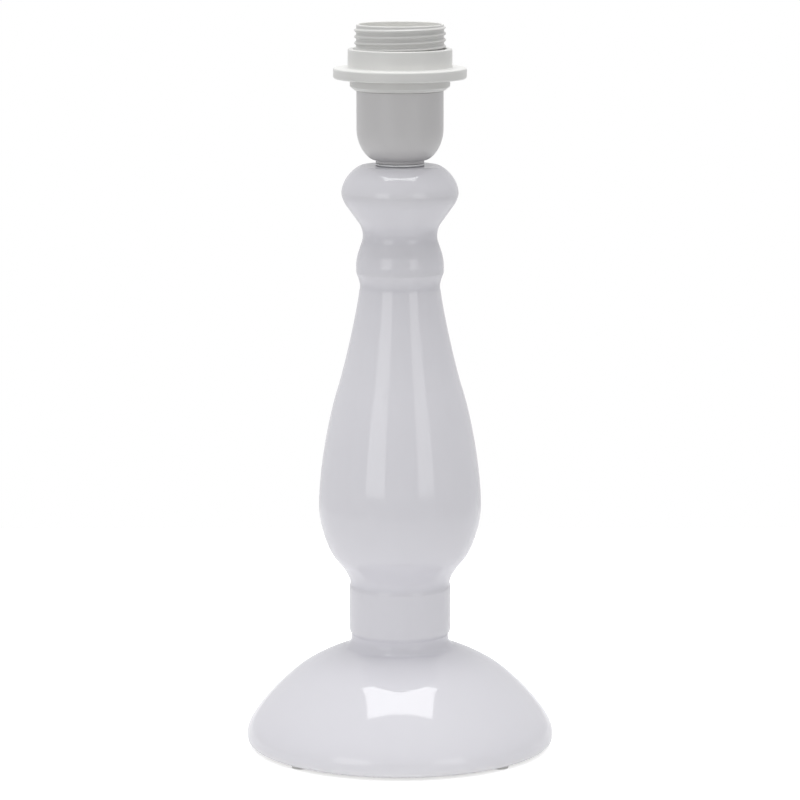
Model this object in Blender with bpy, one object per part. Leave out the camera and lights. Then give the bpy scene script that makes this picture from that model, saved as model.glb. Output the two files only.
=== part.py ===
"""Table lamp: a hollow glazed ceramic baluster with a screw-ring lampholder on a threaded tube.

Metres, +Z up. The origin lies on the turned axis, on the surface under the foot pads.
The front faces -Y and the cable outlet faces +Y. Levels are heights above that surface.
"""

import math

import bmesh
import bpy
from mathutils import Matrix, Vector

# Fits that the whole lamp shares
CLEARANCE = 0.0003
CUT_OVERRUN = 0.002
MERGE_DISTANCE = 0.000001

# Facets round each kind of turned piece, and steps along a rounded stretch
BODY_FACETS = 36
HOLDER_FACETS = 32
TUBE_FACETS = 20
SMALL_FACETS = 16
LONG_STEPS = 5
SHORT_STEPS = 3
FILLET_STEPS = 2

# Foot pads
PAD_COUNT = 4
PAD_INSET = 0.0004
PAD_THICKNESS = 0.0010
PAD_TURN = math.radians(45)

# Ceramic body: foot and domed base
BODY_WALL = 0.0050
BASE_RADIUS = 0.0674
FOOT_EDGE = 0.0024
FOOT_SIDE_RISE = 0.0021
FOOT_LAND_WIDTH = 0.0080
FOOT_RING_RISE = 0.0030
DOME_RISE = 0.0381
CROWN_RADIUS = 0.0245
DOME_CORNER_SHARE = 0.50

# Ceramic body: hollow under the neck, and the neck
SCOTIA_RADIUS = 0.0213
SCOTIA_FILLET_RISE = 0.0042
SCOTIA_RISE = 0.0062
SCOTIA_CORNER_SHARE = 0.35
NECK_RADIUS = 0.0223
NECK_EDGE_RISE = 0.0030
NECK_RISE = 0.0178
COVE_DEPTH = 0.0004
COVE_RISE = 0.0022

# Ceramic body: belly, from its foot to the long taper
BELLY_RADIUS = 0.03545
BELLY_FOOT_RADIUS = 0.0260
BELLY_FOOT_RISE = 0.0078
BELLY_FOOT_CORNER_SHARE = 0.37
BELLY_LOWER_RISE = 0.0264
BELLY_LOWER_CORNER_SHARE = 0.40
BELLY_UPPER_RISE = 0.0535
BELLY_UPPER_CORNER_SHARE = 0.56
BELLY_TURN_RADIUS = 0.0266
TAPER_RADIUS = 0.0177
TAPER_RISE = 0.0412
TAPER_CORNER_SHARES = (0.82, 0.58)

# Ceramic body: collar above the taper
COLLAR_GROOVE_DEPTH = 0.0003
COLLAR_GROOVE_RISE = 0.0018
COLLAR_RADIUS = 0.01905
COLLAR_FLARE_RISE = 0.0059
COLLAR_FLARE_CORNER_SHARE = 0.45
COLLAR_BAND_RISE = 0.0034
COLLAR_TOP_RADIUS = 0.0181
COLLAR_TOP_RISE = 0.0055
COLLAR_TOP_CORNER_SHARE = 0.50
COLLAR_SLOPE_RISE = 0.0045

# Ceramic body: throat and head
THROAT_SHOULDER_RADIUS = 0.0166
THROAT_RADIUS = 0.0150
THROAT_LOWER_RISE = 0.0043
THROAT_UPPER_RISE = 0.0038
THROAT_FLARE_RADIUS = 0.0177
HEAD_FLARE_RADIUS = 0.0235
HEAD_FLARE_RISE = 0.0081
HEAD_RADIUS = 0.0254
HEAD_SIDE_RISE = 0.0051
HEAD_SIDE_CORNER_SHARE = 0.53
HEAD_CORNER_RISE = 0.0082
HEAD_CROWN_RISE = 0.0037
SEAT_RADIUS = 0.0170

# Threaded tube and its clamp under the base
TUBE_RADIUS = 0.0050
TUBE_WALL = 0.0013
TUBE_HOLE_PLAY = 0.0008
TUBE_IN_HOLDER = 0.0092
TUBE_BELOW_NUT = 0.0060
CLAMP_WASHER_RADIUS = 0.0210
CLAMP_WASHER_THICKNESS = 0.0015
CLAMP_SPIGOT_RISE = 0.0015
CLAMP_SPIGOT_WIDTH = 0.0020
SPRING_WASHER_RADIUS = 0.0092
SPRING_WASHER_THICKNESS = 0.0009
SPRING_WASHER_DISH = 0.0005
NUT_SIDES = 6
NUT_ACROSS_FLATS = 0.0140
NUT_HEIGHT = 0.0040
TUBE_CAP_WALL = 0.0013
TUBE_CAP_LENGTH = 0.0052
TUBE_CAP_BORE_RADIUS = 0.0033

# Cable bush in the rear of the base
OUTLET_SWEEP_SHARE = 0.32
BUSH_BORE_RADIUS = 0.0037
BUSH_WALL = 0.0013
BUSH_FLANGE_WIDTH = 0.0015
BUSH_FLANGE_THICKNESS = 0.0010
BUSH_FLANGE_EDGE = 0.0003
BUSH_INNER_REACH = 0.0015

# Washer between the body and the lampholder
NECK_WASHER_MARGIN = 0.0001
NECK_WASHER_THICKNESS = 0.0006

# Lampholder cap: collar, dome, side, and the rim that the skirt screws on
CAP_COLLAR_RADIUS = 0.0105
CAP_COLLAR_RISE = 0.0015
CAP_COLLAR_STEP = 0.0015
CAP_RIM_STEP = 0.0014
CAP_DOME_RISE = 0.0132
CAP_DOME_CORNER_RISE = 0.0030
CAP_SIDE_RISE = 0.0164
CAP_RIM_RISE = 0.0097
CAP_WALL = 0.0020
CAP_RIM_WALL = 0.0017
CAP_RIM_ROOT = 0.0020
CAP_FLOOR = 0.0055
CAP_BOSS_RADIUS = 0.0080
CAP_BOSS_RISE = 0.0030
CAP_FLOOR_FLAT_RADIUS = 0.0120
CAP_INSIDE_ROUND_RISE = 0.0065

# Grub screw that locks the cap on the tube
GRUB_RADIUS = 0.0015
GRUB_LENGTH = 0.0060
GRUB_RISE_SHARE = 0.45

# Skirt: lip, thread and rim
LIP_WIDTH = 0.00185
LIP_FOOT_WIDTH = 0.0008
LIP_CHAMFER_RISE = 0.0016
LIP_RISE = 0.0047
THREAD_RADIUS = 0.01975
THREAD_RISE = 0.0236
RIM_EDGE = 0.0005
SKIRT_WALL = 0.0018
SKIRT_LOWER_WALL = 0.00205
SKIRT_LEDGE_THICKNESS = 0.0018

# Shade ring
RING_FLANGE_WIDTH = 0.0063
RING_FLANGE_THICKNESS = 0.0046
RING_FLANGE_EDGE = 0.0012
RING_COLLAR_WALL = 0.00245
RING_COLLAR_RISE = 0.0082
RING_COLLAR_EDGE = 0.0006
RING_COVE = 0.0006

# Contact carrier: a cup clamped between the cap's rim and the skirt's ledge
CARRIER_FLANGE_THICKNESS = 0.0018
CARRIER_WALL = 0.0013
CARRIER_BELOW_FLANGE = 0.0129
CARRIER_FLOOR_THICKNESS = 0.0044
MOUTH_DEPTH = 0.0050

# Screw shell for the lamp cap
SHELL_WALL = 0.00045
SHELL_LIP_WIDTH = 0.0010
SHELL_FLOOR_WIDTH = 0.0034
RIVET_ANGLES = (math.radians(180), math.radians(90))
RIVET_RADIUS = 0.0009
RIVET_HEAD_RISE = 0.0005

# Sprung centre contact: a leg through the carrier floor, a bend, a rise and a dipped tip
TONGUE_WIDTH = 0.0060
TONGUE_THICKNESS = 0.0005
TONGUE_LEG_INSET = 0.0024
TONGUE_LIFT = 0.0035
TONGUE_CREST_PAST_AXIS = 0.0006
TONGUE_TIP_LENGTH = 0.0034
TONGUE_TIP_DROP = 0.0009
TONGUE_SWING_ROOM = 0.0010

# Terminals under the carrier, one on each side
TERMINAL_INSET = 0.0072
TERMINAL_SIZE = (0.0065, 0.0075, 0.0075)
TERMINAL_EDGE = 0.0004
WIRE_HOLE_RADIUS = 0.0015
WIRE_HOLE_INSET = 0.0022
SCREW_DROP_SHARE = 0.58
SCREW_RADIUS = 0.0014
SCREW_LENGTH = 0.0042
SCREW_HEAD_RADIUS = 0.0026
SCREW_HEAD_THICKNESS = 0.0016
SCREW_HEAD_EDGE = 0.0003

# Levels of the ceramic body, from the foot up
Z_FOOT = PAD_THICKNESS + CLEARANCE
Z_FOOT_SIDE = Z_FOOT + FOOT_EDGE
Z_DOME = Z_FOOT_SIDE + FOOT_SIDE_RISE
Z_CROWN = Z_DOME + DOME_RISE
Z_NECK_EDGE = Z_CROWN + SCOTIA_RISE
Z_NECK = Z_NECK_EDGE + NECK_EDGE_RISE
Z_COVE = Z_NECK + NECK_RISE
Z_BELLY = Z_COVE + COVE_RISE
Z_BELLY_FOOT = Z_BELLY + BELLY_FOOT_RISE
Z_BELLY_WIDEST = Z_BELLY_FOOT + BELLY_LOWER_RISE
Z_BELLY_TURN = Z_BELLY_WIDEST + BELLY_UPPER_RISE
Z_TAPER_END = Z_BELLY_TURN + TAPER_RISE
Z_COLLAR = Z_TAPER_END + COLLAR_GROOVE_RISE
Z_COLLAR_BAND = Z_COLLAR + COLLAR_FLARE_RISE
Z_COLLAR_BAND_END = Z_COLLAR_BAND + COLLAR_BAND_RISE
Z_COLLAR_TOP = Z_COLLAR_BAND_END + COLLAR_TOP_RISE
Z_THROAT = Z_COLLAR_TOP + COLLAR_SLOPE_RISE
Z_THROAT_CORNER = Z_THROAT + THROAT_LOWER_RISE
Z_THROAT_END = Z_THROAT_CORNER + THROAT_UPPER_RISE
Z_HEAD_FLARE = Z_THROAT_END + HEAD_FLARE_RISE
Z_HEAD_SIDE = Z_HEAD_FLARE + HEAD_SIDE_RISE
Z_HEAD_CORNER = Z_HEAD_SIDE + HEAD_CORNER_RISE
Z_SEAT = Z_HEAD_CORNER + HEAD_CROWN_RISE

# Levels of the lampholder, from its collar up
Z_HOLDER = Z_SEAT + CLEARANCE + NECK_WASHER_THICKNESS + CLEARANCE
Z_CAP_DOME = Z_HOLDER + CAP_COLLAR_RISE
Z_CAP_SIDE = Z_CAP_DOME + CAP_DOME_RISE
Z_CAP_SHOULDER = Z_CAP_SIDE + CAP_SIDE_RISE
Z_CAP_RIM = Z_CAP_SHOULDER + CAP_RIM_RISE
Z_CAP_FLOOR = Z_CAP_DOME + CAP_FLOOR
Z_CAP_BOSS = Z_CAP_FLOOR + CAP_BOSS_RISE
Z_SKIRT = Z_CAP_SHOULDER + CLEARANCE
Z_LIP = Z_SKIRT + LIP_RISE
Z_MOUTH = Z_LIP + THREAD_RISE
Z_RING = Z_LIP + CLEARANCE
Z_RING_FLANGE = Z_RING + RING_FLANGE_THICKNESS
Z_RING_TOP = Z_RING_FLANGE + RING_COLLAR_RISE
Z_CARRIER_FLANGE = Z_CAP_RIM + CLEARANCE
Z_CARRIER_FLANGE_TOP = Z_CARRIER_FLANGE + CARRIER_FLANGE_THICKNESS
Z_CARRIER = Z_CARRIER_FLANGE - CARRIER_BELOW_FLANGE
Z_CARRIER_FLOOR = Z_CARRIER + CARRIER_FLOOR_THICKNESS
Z_SKIRT_LEDGE = Z_CARRIER_FLANGE_TOP + CLEARANCE
Z_SHELL_LIP = Z_MOUTH - MOUTH_DEPTH
Z_CARRIER_TOP = Z_SHELL_LIP - CLEARANCE
Z_SHELL = Z_CARRIER_FLOOR + CLEARANCE
Z_TERMINAL_TOP = Z_CARRIER - CLEARANCE

# Radii and offsets that follow from a neighbour
PAD_RADIUS = FOOT_LAND_WIDTH / 2 - PAD_INSET
TUBE_BORE_RADIUS = TUBE_RADIUS - TUBE_WALL
TUBE_HOLE_RADIUS = TUBE_RADIUS + CLEARANCE
BUSH_BARREL_RADIUS = BUSH_BORE_RADIUS + BUSH_WALL
BUSH_FLANGE_RADIUS = BUSH_BARREL_RADIUS + BUSH_FLANGE_WIDTH
NECK_WASHER_RADIUS = CAP_COLLAR_RADIUS + NECK_WASHER_MARGIN
SKIRT_LOWER_BORE = THREAD_RADIUS - SKIRT_LOWER_WALL
SKIRT_UPPER_BORE = THREAD_RADIUS - SKIRT_WALL
LIP_RADIUS = THREAD_RADIUS + LIP_WIDTH
CAP_RIM_RADIUS = SKIRT_LOWER_BORE - CLEARANCE
CAP_RADIUS = CAP_RIM_RADIUS + CAP_RIM_STEP
CAP_SHOULDER_RADIUS = CAP_COLLAR_RADIUS + CAP_COLLAR_STEP
LIP_FOOT_RADIUS = CAP_RADIUS + LIP_FOOT_WIDTH
RING_BORE_RADIUS = THREAD_RADIUS + CLEARANCE
RING_COLLAR_RADIUS = RING_BORE_RADIUS + RING_COLLAR_WALL
RING_FLANGE_RADIUS = RING_COLLAR_RADIUS + RING_FLANGE_WIDTH
CARRIER_RADIUS = CAP_RIM_RADIUS - CAP_RIM_WALL - CLEARANCE
CARRIER_FLANGE_RADIUS = SKIRT_LOWER_BORE - CLEARANCE
CARRIER_WELL_RADIUS = CARRIER_RADIUS - CARRIER_WALL
SHELL_RADIUS = CARRIER_WELL_RADIUS - CLEARANCE
SHELL_BORE_RADIUS = SHELL_RADIUS - SHELL_WALL
RIVET_CIRCLE_RADIUS = SHELL_BORE_RADIUS - SHELL_FLOOR_WIDTH / 2
RIVET_HEAD_RADIUS = SHELL_FLOOR_WIDTH / 2 - CLEARANCE
TERMINAL_OFFSET = CARRIER_RADIUS - TERMINAL_INSET
TONGUE_LEG_OFFSET = TERMINAL_OFFSET - TONGUE_LEG_INSET


def make_material(name, colour, roughness, metallic):
    """Principled material with one colour."""
    material = bpy.data.materials.new(name)
    material.use_nodes = True
    shader = material.node_tree.nodes["Principled BSDF"]
    shader.inputs["Base Color"].default_value = (*colour, 1)
    shader.inputs["Roughness"].default_value = roughness
    shader.inputs["Metallic"].default_value = metallic
    return material


def make_materials():
    """Every material of the lamp by its plain name."""
    return {
        "glaze": make_material("white_glaze", (0.80, 0.79, 0.83), 0.12, 0),
        "plastic": make_material("white_plastic", (0.74, 0.74, 0.72), 0.38, 0),
        "insulator": make_material("insulator_plastic", (0.82, 0.81, 0.78), 0.50, 0),
        "rubber": make_material("white_rubber", (0.66, 0.66, 0.65), 0.70, 0),
        "felt": make_material("white_felt", (0.74, 0.74, 0.72), 0.95, 0),
        "steel": make_material("zinc_plated_steel", (0.66, 0.67, 0.69), 0.35, 1),
        "brass": make_material("brass", (0.78, 0.62, 0.32), 0.30, 1),
        "nickel": make_material("nickel_plate", (0.72, 0.70, 0.66), 0.25, 1),
    }


def at(radius, level):
    """A point of a turned outline."""
    return Vector((radius, level))


def swept(start, corner, end, steps):
    """Quarter of an ellipse from start to end that touches both legs of the corner."""
    points = []
    for step in range(steps + 1):
        angle = step / steps * math.pi / 2
        toward_start = 1 - math.sin(angle)
        toward_end = 1 - math.cos(angle)
        points.append(corner + (start - corner) * toward_start + (end - corner) * toward_end)
    return points


def inward(point, along):
    """The point moved by the body's wall to the left of a direction, which is the inside."""
    side = Vector((-along.y, along.x)).normalized()
    return point + side * BODY_WALL


def crossing(point, along, other, other_along):
    """Where the line through point meets the line through other."""
    span = other - point
    turn = along.x * other_along.y - along.y * other_along.x
    reach = (span.x * other_along.y - span.y * other_along.x) / turn
    return point + along * reach


def inside_of(stretch):
    """Start, corner and end of a rounded stretch, moved to the wall's inner side."""
    start, corner, end = stretch
    inner_start = inward(start, corner - start)
    inner_end = inward(end, end - corner)
    inner_corner = crossing(inner_start, corner - start, inner_end, end - corner)
    return inner_start, inner_corner, inner_end


def joined(*stretches):
    """One list of points, with the points that follow each other at one place kept once."""
    points = []
    for stretch in stretches:
        for point in stretch:
            if not points or (point - points[-1]).length > MERGE_DISTANCE:
                points.append(point)
    return points


def finish_mesh(bm, name, material):
    """Turn a bmesh into a smooth-shaded object with outward faces."""
    bmesh.ops.remove_doubles(bm, verts=bm.verts, dist=MERGE_DISTANCE)
    bmesh.ops.recalc_face_normals(bm, faces=bm.faces)
    mesh = bpy.data.meshes.new(name)
    bm.to_mesh(mesh)
    bm.free()
    mesh.shade_smooth()
    mesh.set_sharp_from_angle(angle=math.radians(32))
    if material:
        mesh.materials.append(material)
    piece = bpy.data.objects.new(name, mesh)
    bpy.context.collection.objects.link(piece)
    return piece


def turned(name, outline, facets, material, level=0):
    """Spin a closed outline of radius and height round Z, with the object's origin at a level."""
    bm = bmesh.new()
    verts = [bm.verts.new((point.x, 0, point.y - level)) for point in outline]
    for first, second in zip(verts, verts[1:] + verts[:1]):
        if first.co.x > MERGE_DISTANCE or second.co.x > MERGE_DISTANCE:
            bm.edges.new((first, second))
    bmesh.ops.spin(bm, geom=bm.verts[:] + bm.edges[:], axis=(0, 0, 1), cent=(0, 0, 0),
                   angle=2 * math.pi, steps=facets, use_merge=True)
    piece = finish_mesh(bm, name, material)
    piece.location.z = level
    return piece


def ring(name, inner, outer, bottom, top, facets, material):
    """Plain ring of rectangular section."""
    outline = [at(inner, bottom), at(outer, bottom), at(outer, top), at(inner, top)]
    return turned(name, outline, facets, material)


def box(name, size, centre, material, edge=0):
    """Box with its edges eased by one small bevel."""
    bm = bmesh.new()
    bmesh.ops.create_cube(bm, size=1, matrix=Matrix.Diagonal((*size, 1)))
    if edge > 0:
        bmesh.ops.bevel(bm, geom=bm.edges, offset=edge, segments=1, affect="EDGES")
    piece = finish_mesh(bm, name, material)
    piece.location = centre
    return piece


def cylinder_mesh(bm, radius, length, facets, placing):
    """Add a capped cylinder along the Z axis of a placing matrix, centred on its origin."""
    bmesh.ops.create_cone(bm, cap_ends=True, segments=facets, radius1=radius, radius2=radius,
                          depth=length, matrix=placing)


def round_cutter(name, radius, length, facets, placing):
    """Cylinder that only cuts."""
    bm = bmesh.new()
    cylinder_mesh(bm, radius, length, facets, placing)
    return as_cutter(finish_mesh(bm, name, None))


def as_cutter(piece):
    """Keep an object out of renders and of the model."""
    piece.hide_render = True
    piece.display_type = "WIRE"
    return piece


def cut(piece, cutter):
    """Take the cutter's volume out of a piece."""
    boolean = piece.modifiers.new(cutter.name, "BOOLEAN")
    boolean.operation = "DIFFERENCE"
    boolean.solver = "EXACT"
    boolean.object = cutter


def placed(origin, direction):
    """Matrix whose Z axis lies along a direction from an origin."""
    return Matrix.Translation(origin) @ direction.to_track_quat("Z", "Y").to_matrix().to_4x4()


def dome_stretch():
    """The base's dome as start, corner and end."""
    return (at(BASE_RADIUS, Z_DOME), at(BASE_RADIUS, Z_DOME + DOME_RISE * DOME_CORNER_SHARE),
            at(CROWN_RADIUS, Z_CROWN))


def body_stretches():
    """The long rounded stretches of the body above the neck, bottom to top."""
    waist = NECK_RADIUS - COVE_DEPTH
    fall, climb = TAPER_CORNER_SHARES
    taper_corner = at(BELLY_TURN_RADIUS - (BELLY_TURN_RADIUS - TAPER_RADIUS) * fall,
                      Z_BELLY_TURN + TAPER_RISE * climb)
    return {
        "belly_foot": (at(waist, Z_BELLY),
                       at(waist, Z_BELLY + BELLY_FOOT_RISE * BELLY_FOOT_CORNER_SHARE),
                       at(BELLY_FOOT_RADIUS, Z_BELLY_FOOT)),
        "belly_lower": (at(BELLY_FOOT_RADIUS, Z_BELLY_FOOT),
                        at(BELLY_RADIUS, Z_BELLY_FOOT + BELLY_LOWER_RISE * BELLY_LOWER_CORNER_SHARE),
                        at(BELLY_RADIUS, Z_BELLY_WIDEST)),
        "belly_upper": (at(BELLY_RADIUS, Z_BELLY_WIDEST),
                        at(BELLY_RADIUS, Z_BELLY_WIDEST + BELLY_UPPER_RISE * BELLY_UPPER_CORNER_SHARE),
                        at(BELLY_TURN_RADIUS, Z_BELLY_TURN)),
        "taper": (at(BELLY_TURN_RADIUS, Z_BELLY_TURN), taper_corner, at(TAPER_RADIUS, Z_TAPER_END)),
    }


def head_stretches():
    """The head's two rounded stretches: its side and its crown."""
    side = (at(HEAD_FLARE_RADIUS, Z_HEAD_FLARE),
            at(HEAD_RADIUS, Z_HEAD_FLARE + HEAD_SIDE_RISE * HEAD_SIDE_CORNER_SHARE),
            at(HEAD_RADIUS, Z_HEAD_SIDE))
    crown = (at(HEAD_RADIUS, Z_HEAD_SIDE), at(HEAD_RADIUS, Z_HEAD_CORNER), at(SEAT_RADIUS, Z_SEAT))
    return side, crown


def body_outside():
    """The body's outer outline from the foot's land to the seat at the top."""
    land_edge = at(BASE_RADIUS - FOOT_EDGE, Z_FOOT)
    foot_edge = swept(land_edge, at(BASE_RADIUS, Z_FOOT), at(BASE_RADIUS, Z_FOOT_SIDE), FILLET_STEPS)
    scotia_end = at(SCOTIA_RADIUS, Z_CROWN + SCOTIA_FILLET_RISE)
    scotia_corner = at(SCOTIA_RADIUS, Z_CROWN + SCOTIA_FILLET_RISE * SCOTIA_CORNER_SHARE)
    scotia = swept(at(CROWN_RADIUS, Z_CROWN), scotia_corner, scotia_end, SHORT_STEPS)
    neck_edge = swept(at(SCOTIA_RADIUS, Z_NECK_EDGE), at(NECK_RADIUS, Z_NECK_EDGE),
                      at(NECK_RADIUS, Z_NECK), FILLET_STEPS)
    cove = [at(NECK_RADIUS, Z_COVE), at(NECK_RADIUS - COVE_DEPTH, Z_COVE + COVE_RISE / 2)]
    belly = [swept(*stretch, LONG_STEPS) for stretch in body_stretches().values()]
    groove_radius = TAPER_RADIUS - COLLAR_GROOVE_DEPTH
    groove = [at(groove_radius, Z_TAPER_END + COLLAR_GROOVE_RISE / 2), at(groove_radius, Z_COLLAR)]
    flare = swept(at(groove_radius, Z_COLLAR),
                  at(groove_radius, Z_COLLAR + COLLAR_FLARE_RISE * COLLAR_FLARE_CORNER_SHARE),
                  at(COLLAR_RADIUS, Z_COLLAR_BAND), SHORT_STEPS)
    collar_top = swept(at(COLLAR_RADIUS, Z_COLLAR_BAND_END),
                       at(COLLAR_RADIUS, Z_COLLAR_BAND_END + COLLAR_TOP_RISE * COLLAR_TOP_CORNER_SHARE),
                       at(COLLAR_TOP_RADIUS, Z_COLLAR_TOP), SHORT_STEPS)
    throat = swept(at(THROAT_SHOULDER_RADIUS, Z_THROAT), at(THROAT_RADIUS, Z_THROAT_CORNER),
                   at(THROAT_FLARE_RADIUS, Z_THROAT_END), SHORT_STEPS)
    side, crown = head_stretches()
    return joined([land_edge], foot_edge, swept(*dome_stretch(), LONG_STEPS + FILLET_STEPS), scotia,
                  neck_edge, cove, *belly, groove, flare, collar_top, throat,
                  swept(*side, SHORT_STEPS), swept(*crown, LONG_STEPS))


def ledge_point():
    """Outer edge of the flat ledge inside the crown, which the clamp washer meets."""
    return inside_of(dome_stretch())[2]


def body_inside():
    """The body's inner outline from the tube hole at the top down to the foot ring."""
    stretches = body_stretches()
    side, crown = head_stretches()
    hole_radius = TUBE_RADIUS + TUBE_HOLE_PLAY
    ceiling = Z_SEAT - BODY_WALL
    throat_bore = THROAT_SHOULDER_RADIUS - BODY_WALL
    flare_along = at(HEAD_FLARE_RADIUS, Z_HEAD_FLARE) - at(THROAT_FLARE_RADIUS, Z_THROAT_END)
    inner_flare = inward(at(THROAT_FLARE_RADIUS, Z_THROAT_END), flare_along)
    dome = inside_of(dome_stretch())
    neck_bore = NECK_RADIUS - BODY_WALL
    rising = joined(
        [at(BASE_RADIUS - FOOT_EDGE - FOOT_LAND_WIDTH, Z_FOOT)],
        [at(BASE_RADIUS - FOOT_EDGE - FOOT_LAND_WIDTH, Z_FOOT + FOOT_RING_RISE)],
        swept(*dome, SHORT_STEPS + 1),
        [at(neck_bore, ledge_point().y), at(neck_bore, Z_COVE)],
        swept(*inside_of(stretches["belly_foot"]), FILLET_STEPS),
        swept(*inside_of(stretches["belly_lower"]), SHORT_STEPS),
        swept(*inside_of(stretches["belly_upper"]), SHORT_STEPS + 1),
        swept(*inside_of(stretches["taper"]), SHORT_STEPS),
        [at(throat_bore, Z_THROAT), at(throat_bore, Z_THROAT_CORNER), inner_flare],
        swept(*inside_of(side), FILLET_STEPS),
        swept(*inside_of(crown), SHORT_STEPS),
        [at(hole_radius, ceiling), at(hole_radius, Z_SEAT)],
    )
    return rising[::-1]


def outlet_axis():
    """Point on the dome's outer surface at the rear, and its outward direction."""
    start, corner, end = dome_stretch()
    angle = OUTLET_SWEEP_SHARE * math.pi / 2
    point = corner + (start - corner) * (1 - math.sin(angle)) + (end - corner) * (1 - math.cos(angle))
    along = (corner - start) * math.cos(angle) + (end - corner) * math.sin(angle)
    outward = Vector((along.y, -along.x)).normalized()
    return Vector((0, point.x, point.y)), Vector((0, outward.x, outward.y))


def make_body(materials):
    """Slip-cast body: one even wall, open below, with a ledge inside the crown and a rear outlet."""
    body = turned("ceramic_body", joined(body_outside(), body_inside()), BODY_FACETS, materials["glaze"])
    origin, outward = outlet_axis()
    reach = BODY_WALL * 2 + CUT_OVERRUN * 2
    hole = round_cutter("outlet_hole", BUSH_BARREL_RADIUS + CLEARANCE, reach, TUBE_FACETS,
                        placed(origin - outward * BODY_WALL / 2, outward))
    cut(body, hole)


def make_cable_bush(materials):
    """Flanged bush pressed into the rear outlet."""
    flange_back = CLEARANCE
    flange_face = flange_back + BUSH_FLANGE_THICKNESS
    inner_end = -BODY_WALL - BUSH_INNER_REACH
    outline = [
        at(BUSH_BORE_RADIUS, inner_end), at(BUSH_BARREL_RADIUS - BUSH_FLANGE_EDGE, inner_end),
        at(BUSH_BARREL_RADIUS, inner_end + BUSH_FLANGE_EDGE),
        at(BUSH_BARREL_RADIUS, flange_back), at(BUSH_FLANGE_RADIUS, flange_back),
        at(BUSH_FLANGE_RADIUS, flange_face - BUSH_FLANGE_EDGE),
        at(BUSH_FLANGE_RADIUS - BUSH_FLANGE_EDGE, flange_face), at(BUSH_BORE_RADIUS, flange_face),
    ]
    bush = turned("cable_bush", outline, TUBE_FACETS, materials["rubber"])
    origin, outward = outlet_axis()
    bush.matrix_world = placed(origin, outward)


def make_pads(materials):
    """Felt pads under the foot's land."""
    land_middle = BASE_RADIUS - FOOT_EDGE - FOOT_LAND_WIDTH / 2
    for number in range(PAD_COUNT):
        angle = PAD_TURN + number / PAD_COUNT * 2 * math.pi
        bm = bmesh.new()
        cylinder_mesh(bm, PAD_RADIUS, PAD_THICKNESS, SMALL_FACETS, Matrix.Identity(4))
        pad = finish_mesh(bm, f"foot_pad_{number + 1}", materials["felt"])
        pad.location = (land_middle * math.cos(angle), land_middle * math.sin(angle), PAD_THICKNESS / 2)


def make_tube_and_clamp(materials):
    """Threaded tube, and below the ledge its washers, nut and end cap."""
    washer_top = ledge_point().y - CLEARANCE
    washer_bottom = washer_top - CLAMP_WASHER_THICKNESS
    spigot_outer = NECK_RADIUS - BODY_WALL - CLEARANCE
    spigot_inner = spigot_outer - CLAMP_SPIGOT_WIDTH
    spigot_top = washer_top + CLAMP_SPIGOT_RISE
    turned("clamp_washer", [
        at(TUBE_HOLE_RADIUS, washer_bottom), at(CLAMP_WASHER_RADIUS, washer_bottom),
        at(CLAMP_WASHER_RADIUS, washer_top), at(spigot_outer, washer_top), at(spigot_outer, spigot_top),
        at(spigot_inner, spigot_top), at(spigot_inner, washer_top), at(TUBE_HOLE_RADIUS, washer_top),
    ], HOLDER_FACETS, materials["steel"])

    spring_top = washer_bottom - CLEARANCE
    spring_bottom = spring_top - SPRING_WASHER_THICKNESS
    turned("spring_washer", [
        at(TUBE_HOLE_RADIUS, spring_bottom - SPRING_WASHER_DISH), at(SPRING_WASHER_RADIUS, spring_bottom),
        at(SPRING_WASHER_RADIUS, spring_top), at(TUBE_HOLE_RADIUS, spring_top - SPRING_WASHER_DISH),
    ], TUBE_FACETS, materials["steel"])

    nut_top = spring_bottom - SPRING_WASHER_DISH - CLEARANCE
    nut_middle = Vector((0, 0, nut_top - NUT_HEIGHT / 2))
    corner_radius = NUT_ACROSS_FLATS / 2 / math.cos(math.pi / NUT_SIDES)
    bm = bmesh.new()
    cylinder_mesh(bm, corner_radius, NUT_HEIGHT, NUT_SIDES, Matrix.Translation(nut_middle))
    nut = finish_mesh(bm, "hex_nut", materials["steel"])
    cut(nut, round_cutter("nut_bore", TUBE_HOLE_RADIUS, NUT_HEIGHT + CUT_OVERRUN, TUBE_FACETS,
                          Matrix.Translation(nut_middle)))

    tube_bottom = nut_top - NUT_HEIGHT - TUBE_BELOW_NUT
    ring("threaded_tube", TUBE_BORE_RADIUS, TUBE_RADIUS, tube_bottom, Z_HOLDER + TUBE_IN_HOLDER,
         TUBE_FACETS, materials["steel"])

    floor_top = tube_bottom - CLEARANCE
    cap_bottom = floor_top - TUBE_CAP_WALL
    cap_top = cap_bottom + TUBE_CAP_LENGTH
    cap_radius = TUBE_HOLE_RADIUS + TUBE_CAP_WALL
    turned("tube_end_cap", [
        at(TUBE_CAP_BORE_RADIUS, cap_bottom), at(cap_radius, cap_bottom), at(cap_radius, cap_top),
        at(TUBE_HOLE_RADIUS, cap_top), at(TUBE_HOLE_RADIUS, floor_top), at(TUBE_CAP_BORE_RADIUS, floor_top),
    ], TUBE_FACETS, materials["plastic"])


def make_neck_washer(materials):
    """Washer between the body's seat and the lampholder."""
    bottom = Z_SEAT + CLEARANCE
    ring("neck_washer", TUBE_HOLE_RADIUS, NECK_WASHER_RADIUS, bottom, bottom + NECK_WASHER_THICKNESS,
         TUBE_FACETS, materials["steel"])


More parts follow.
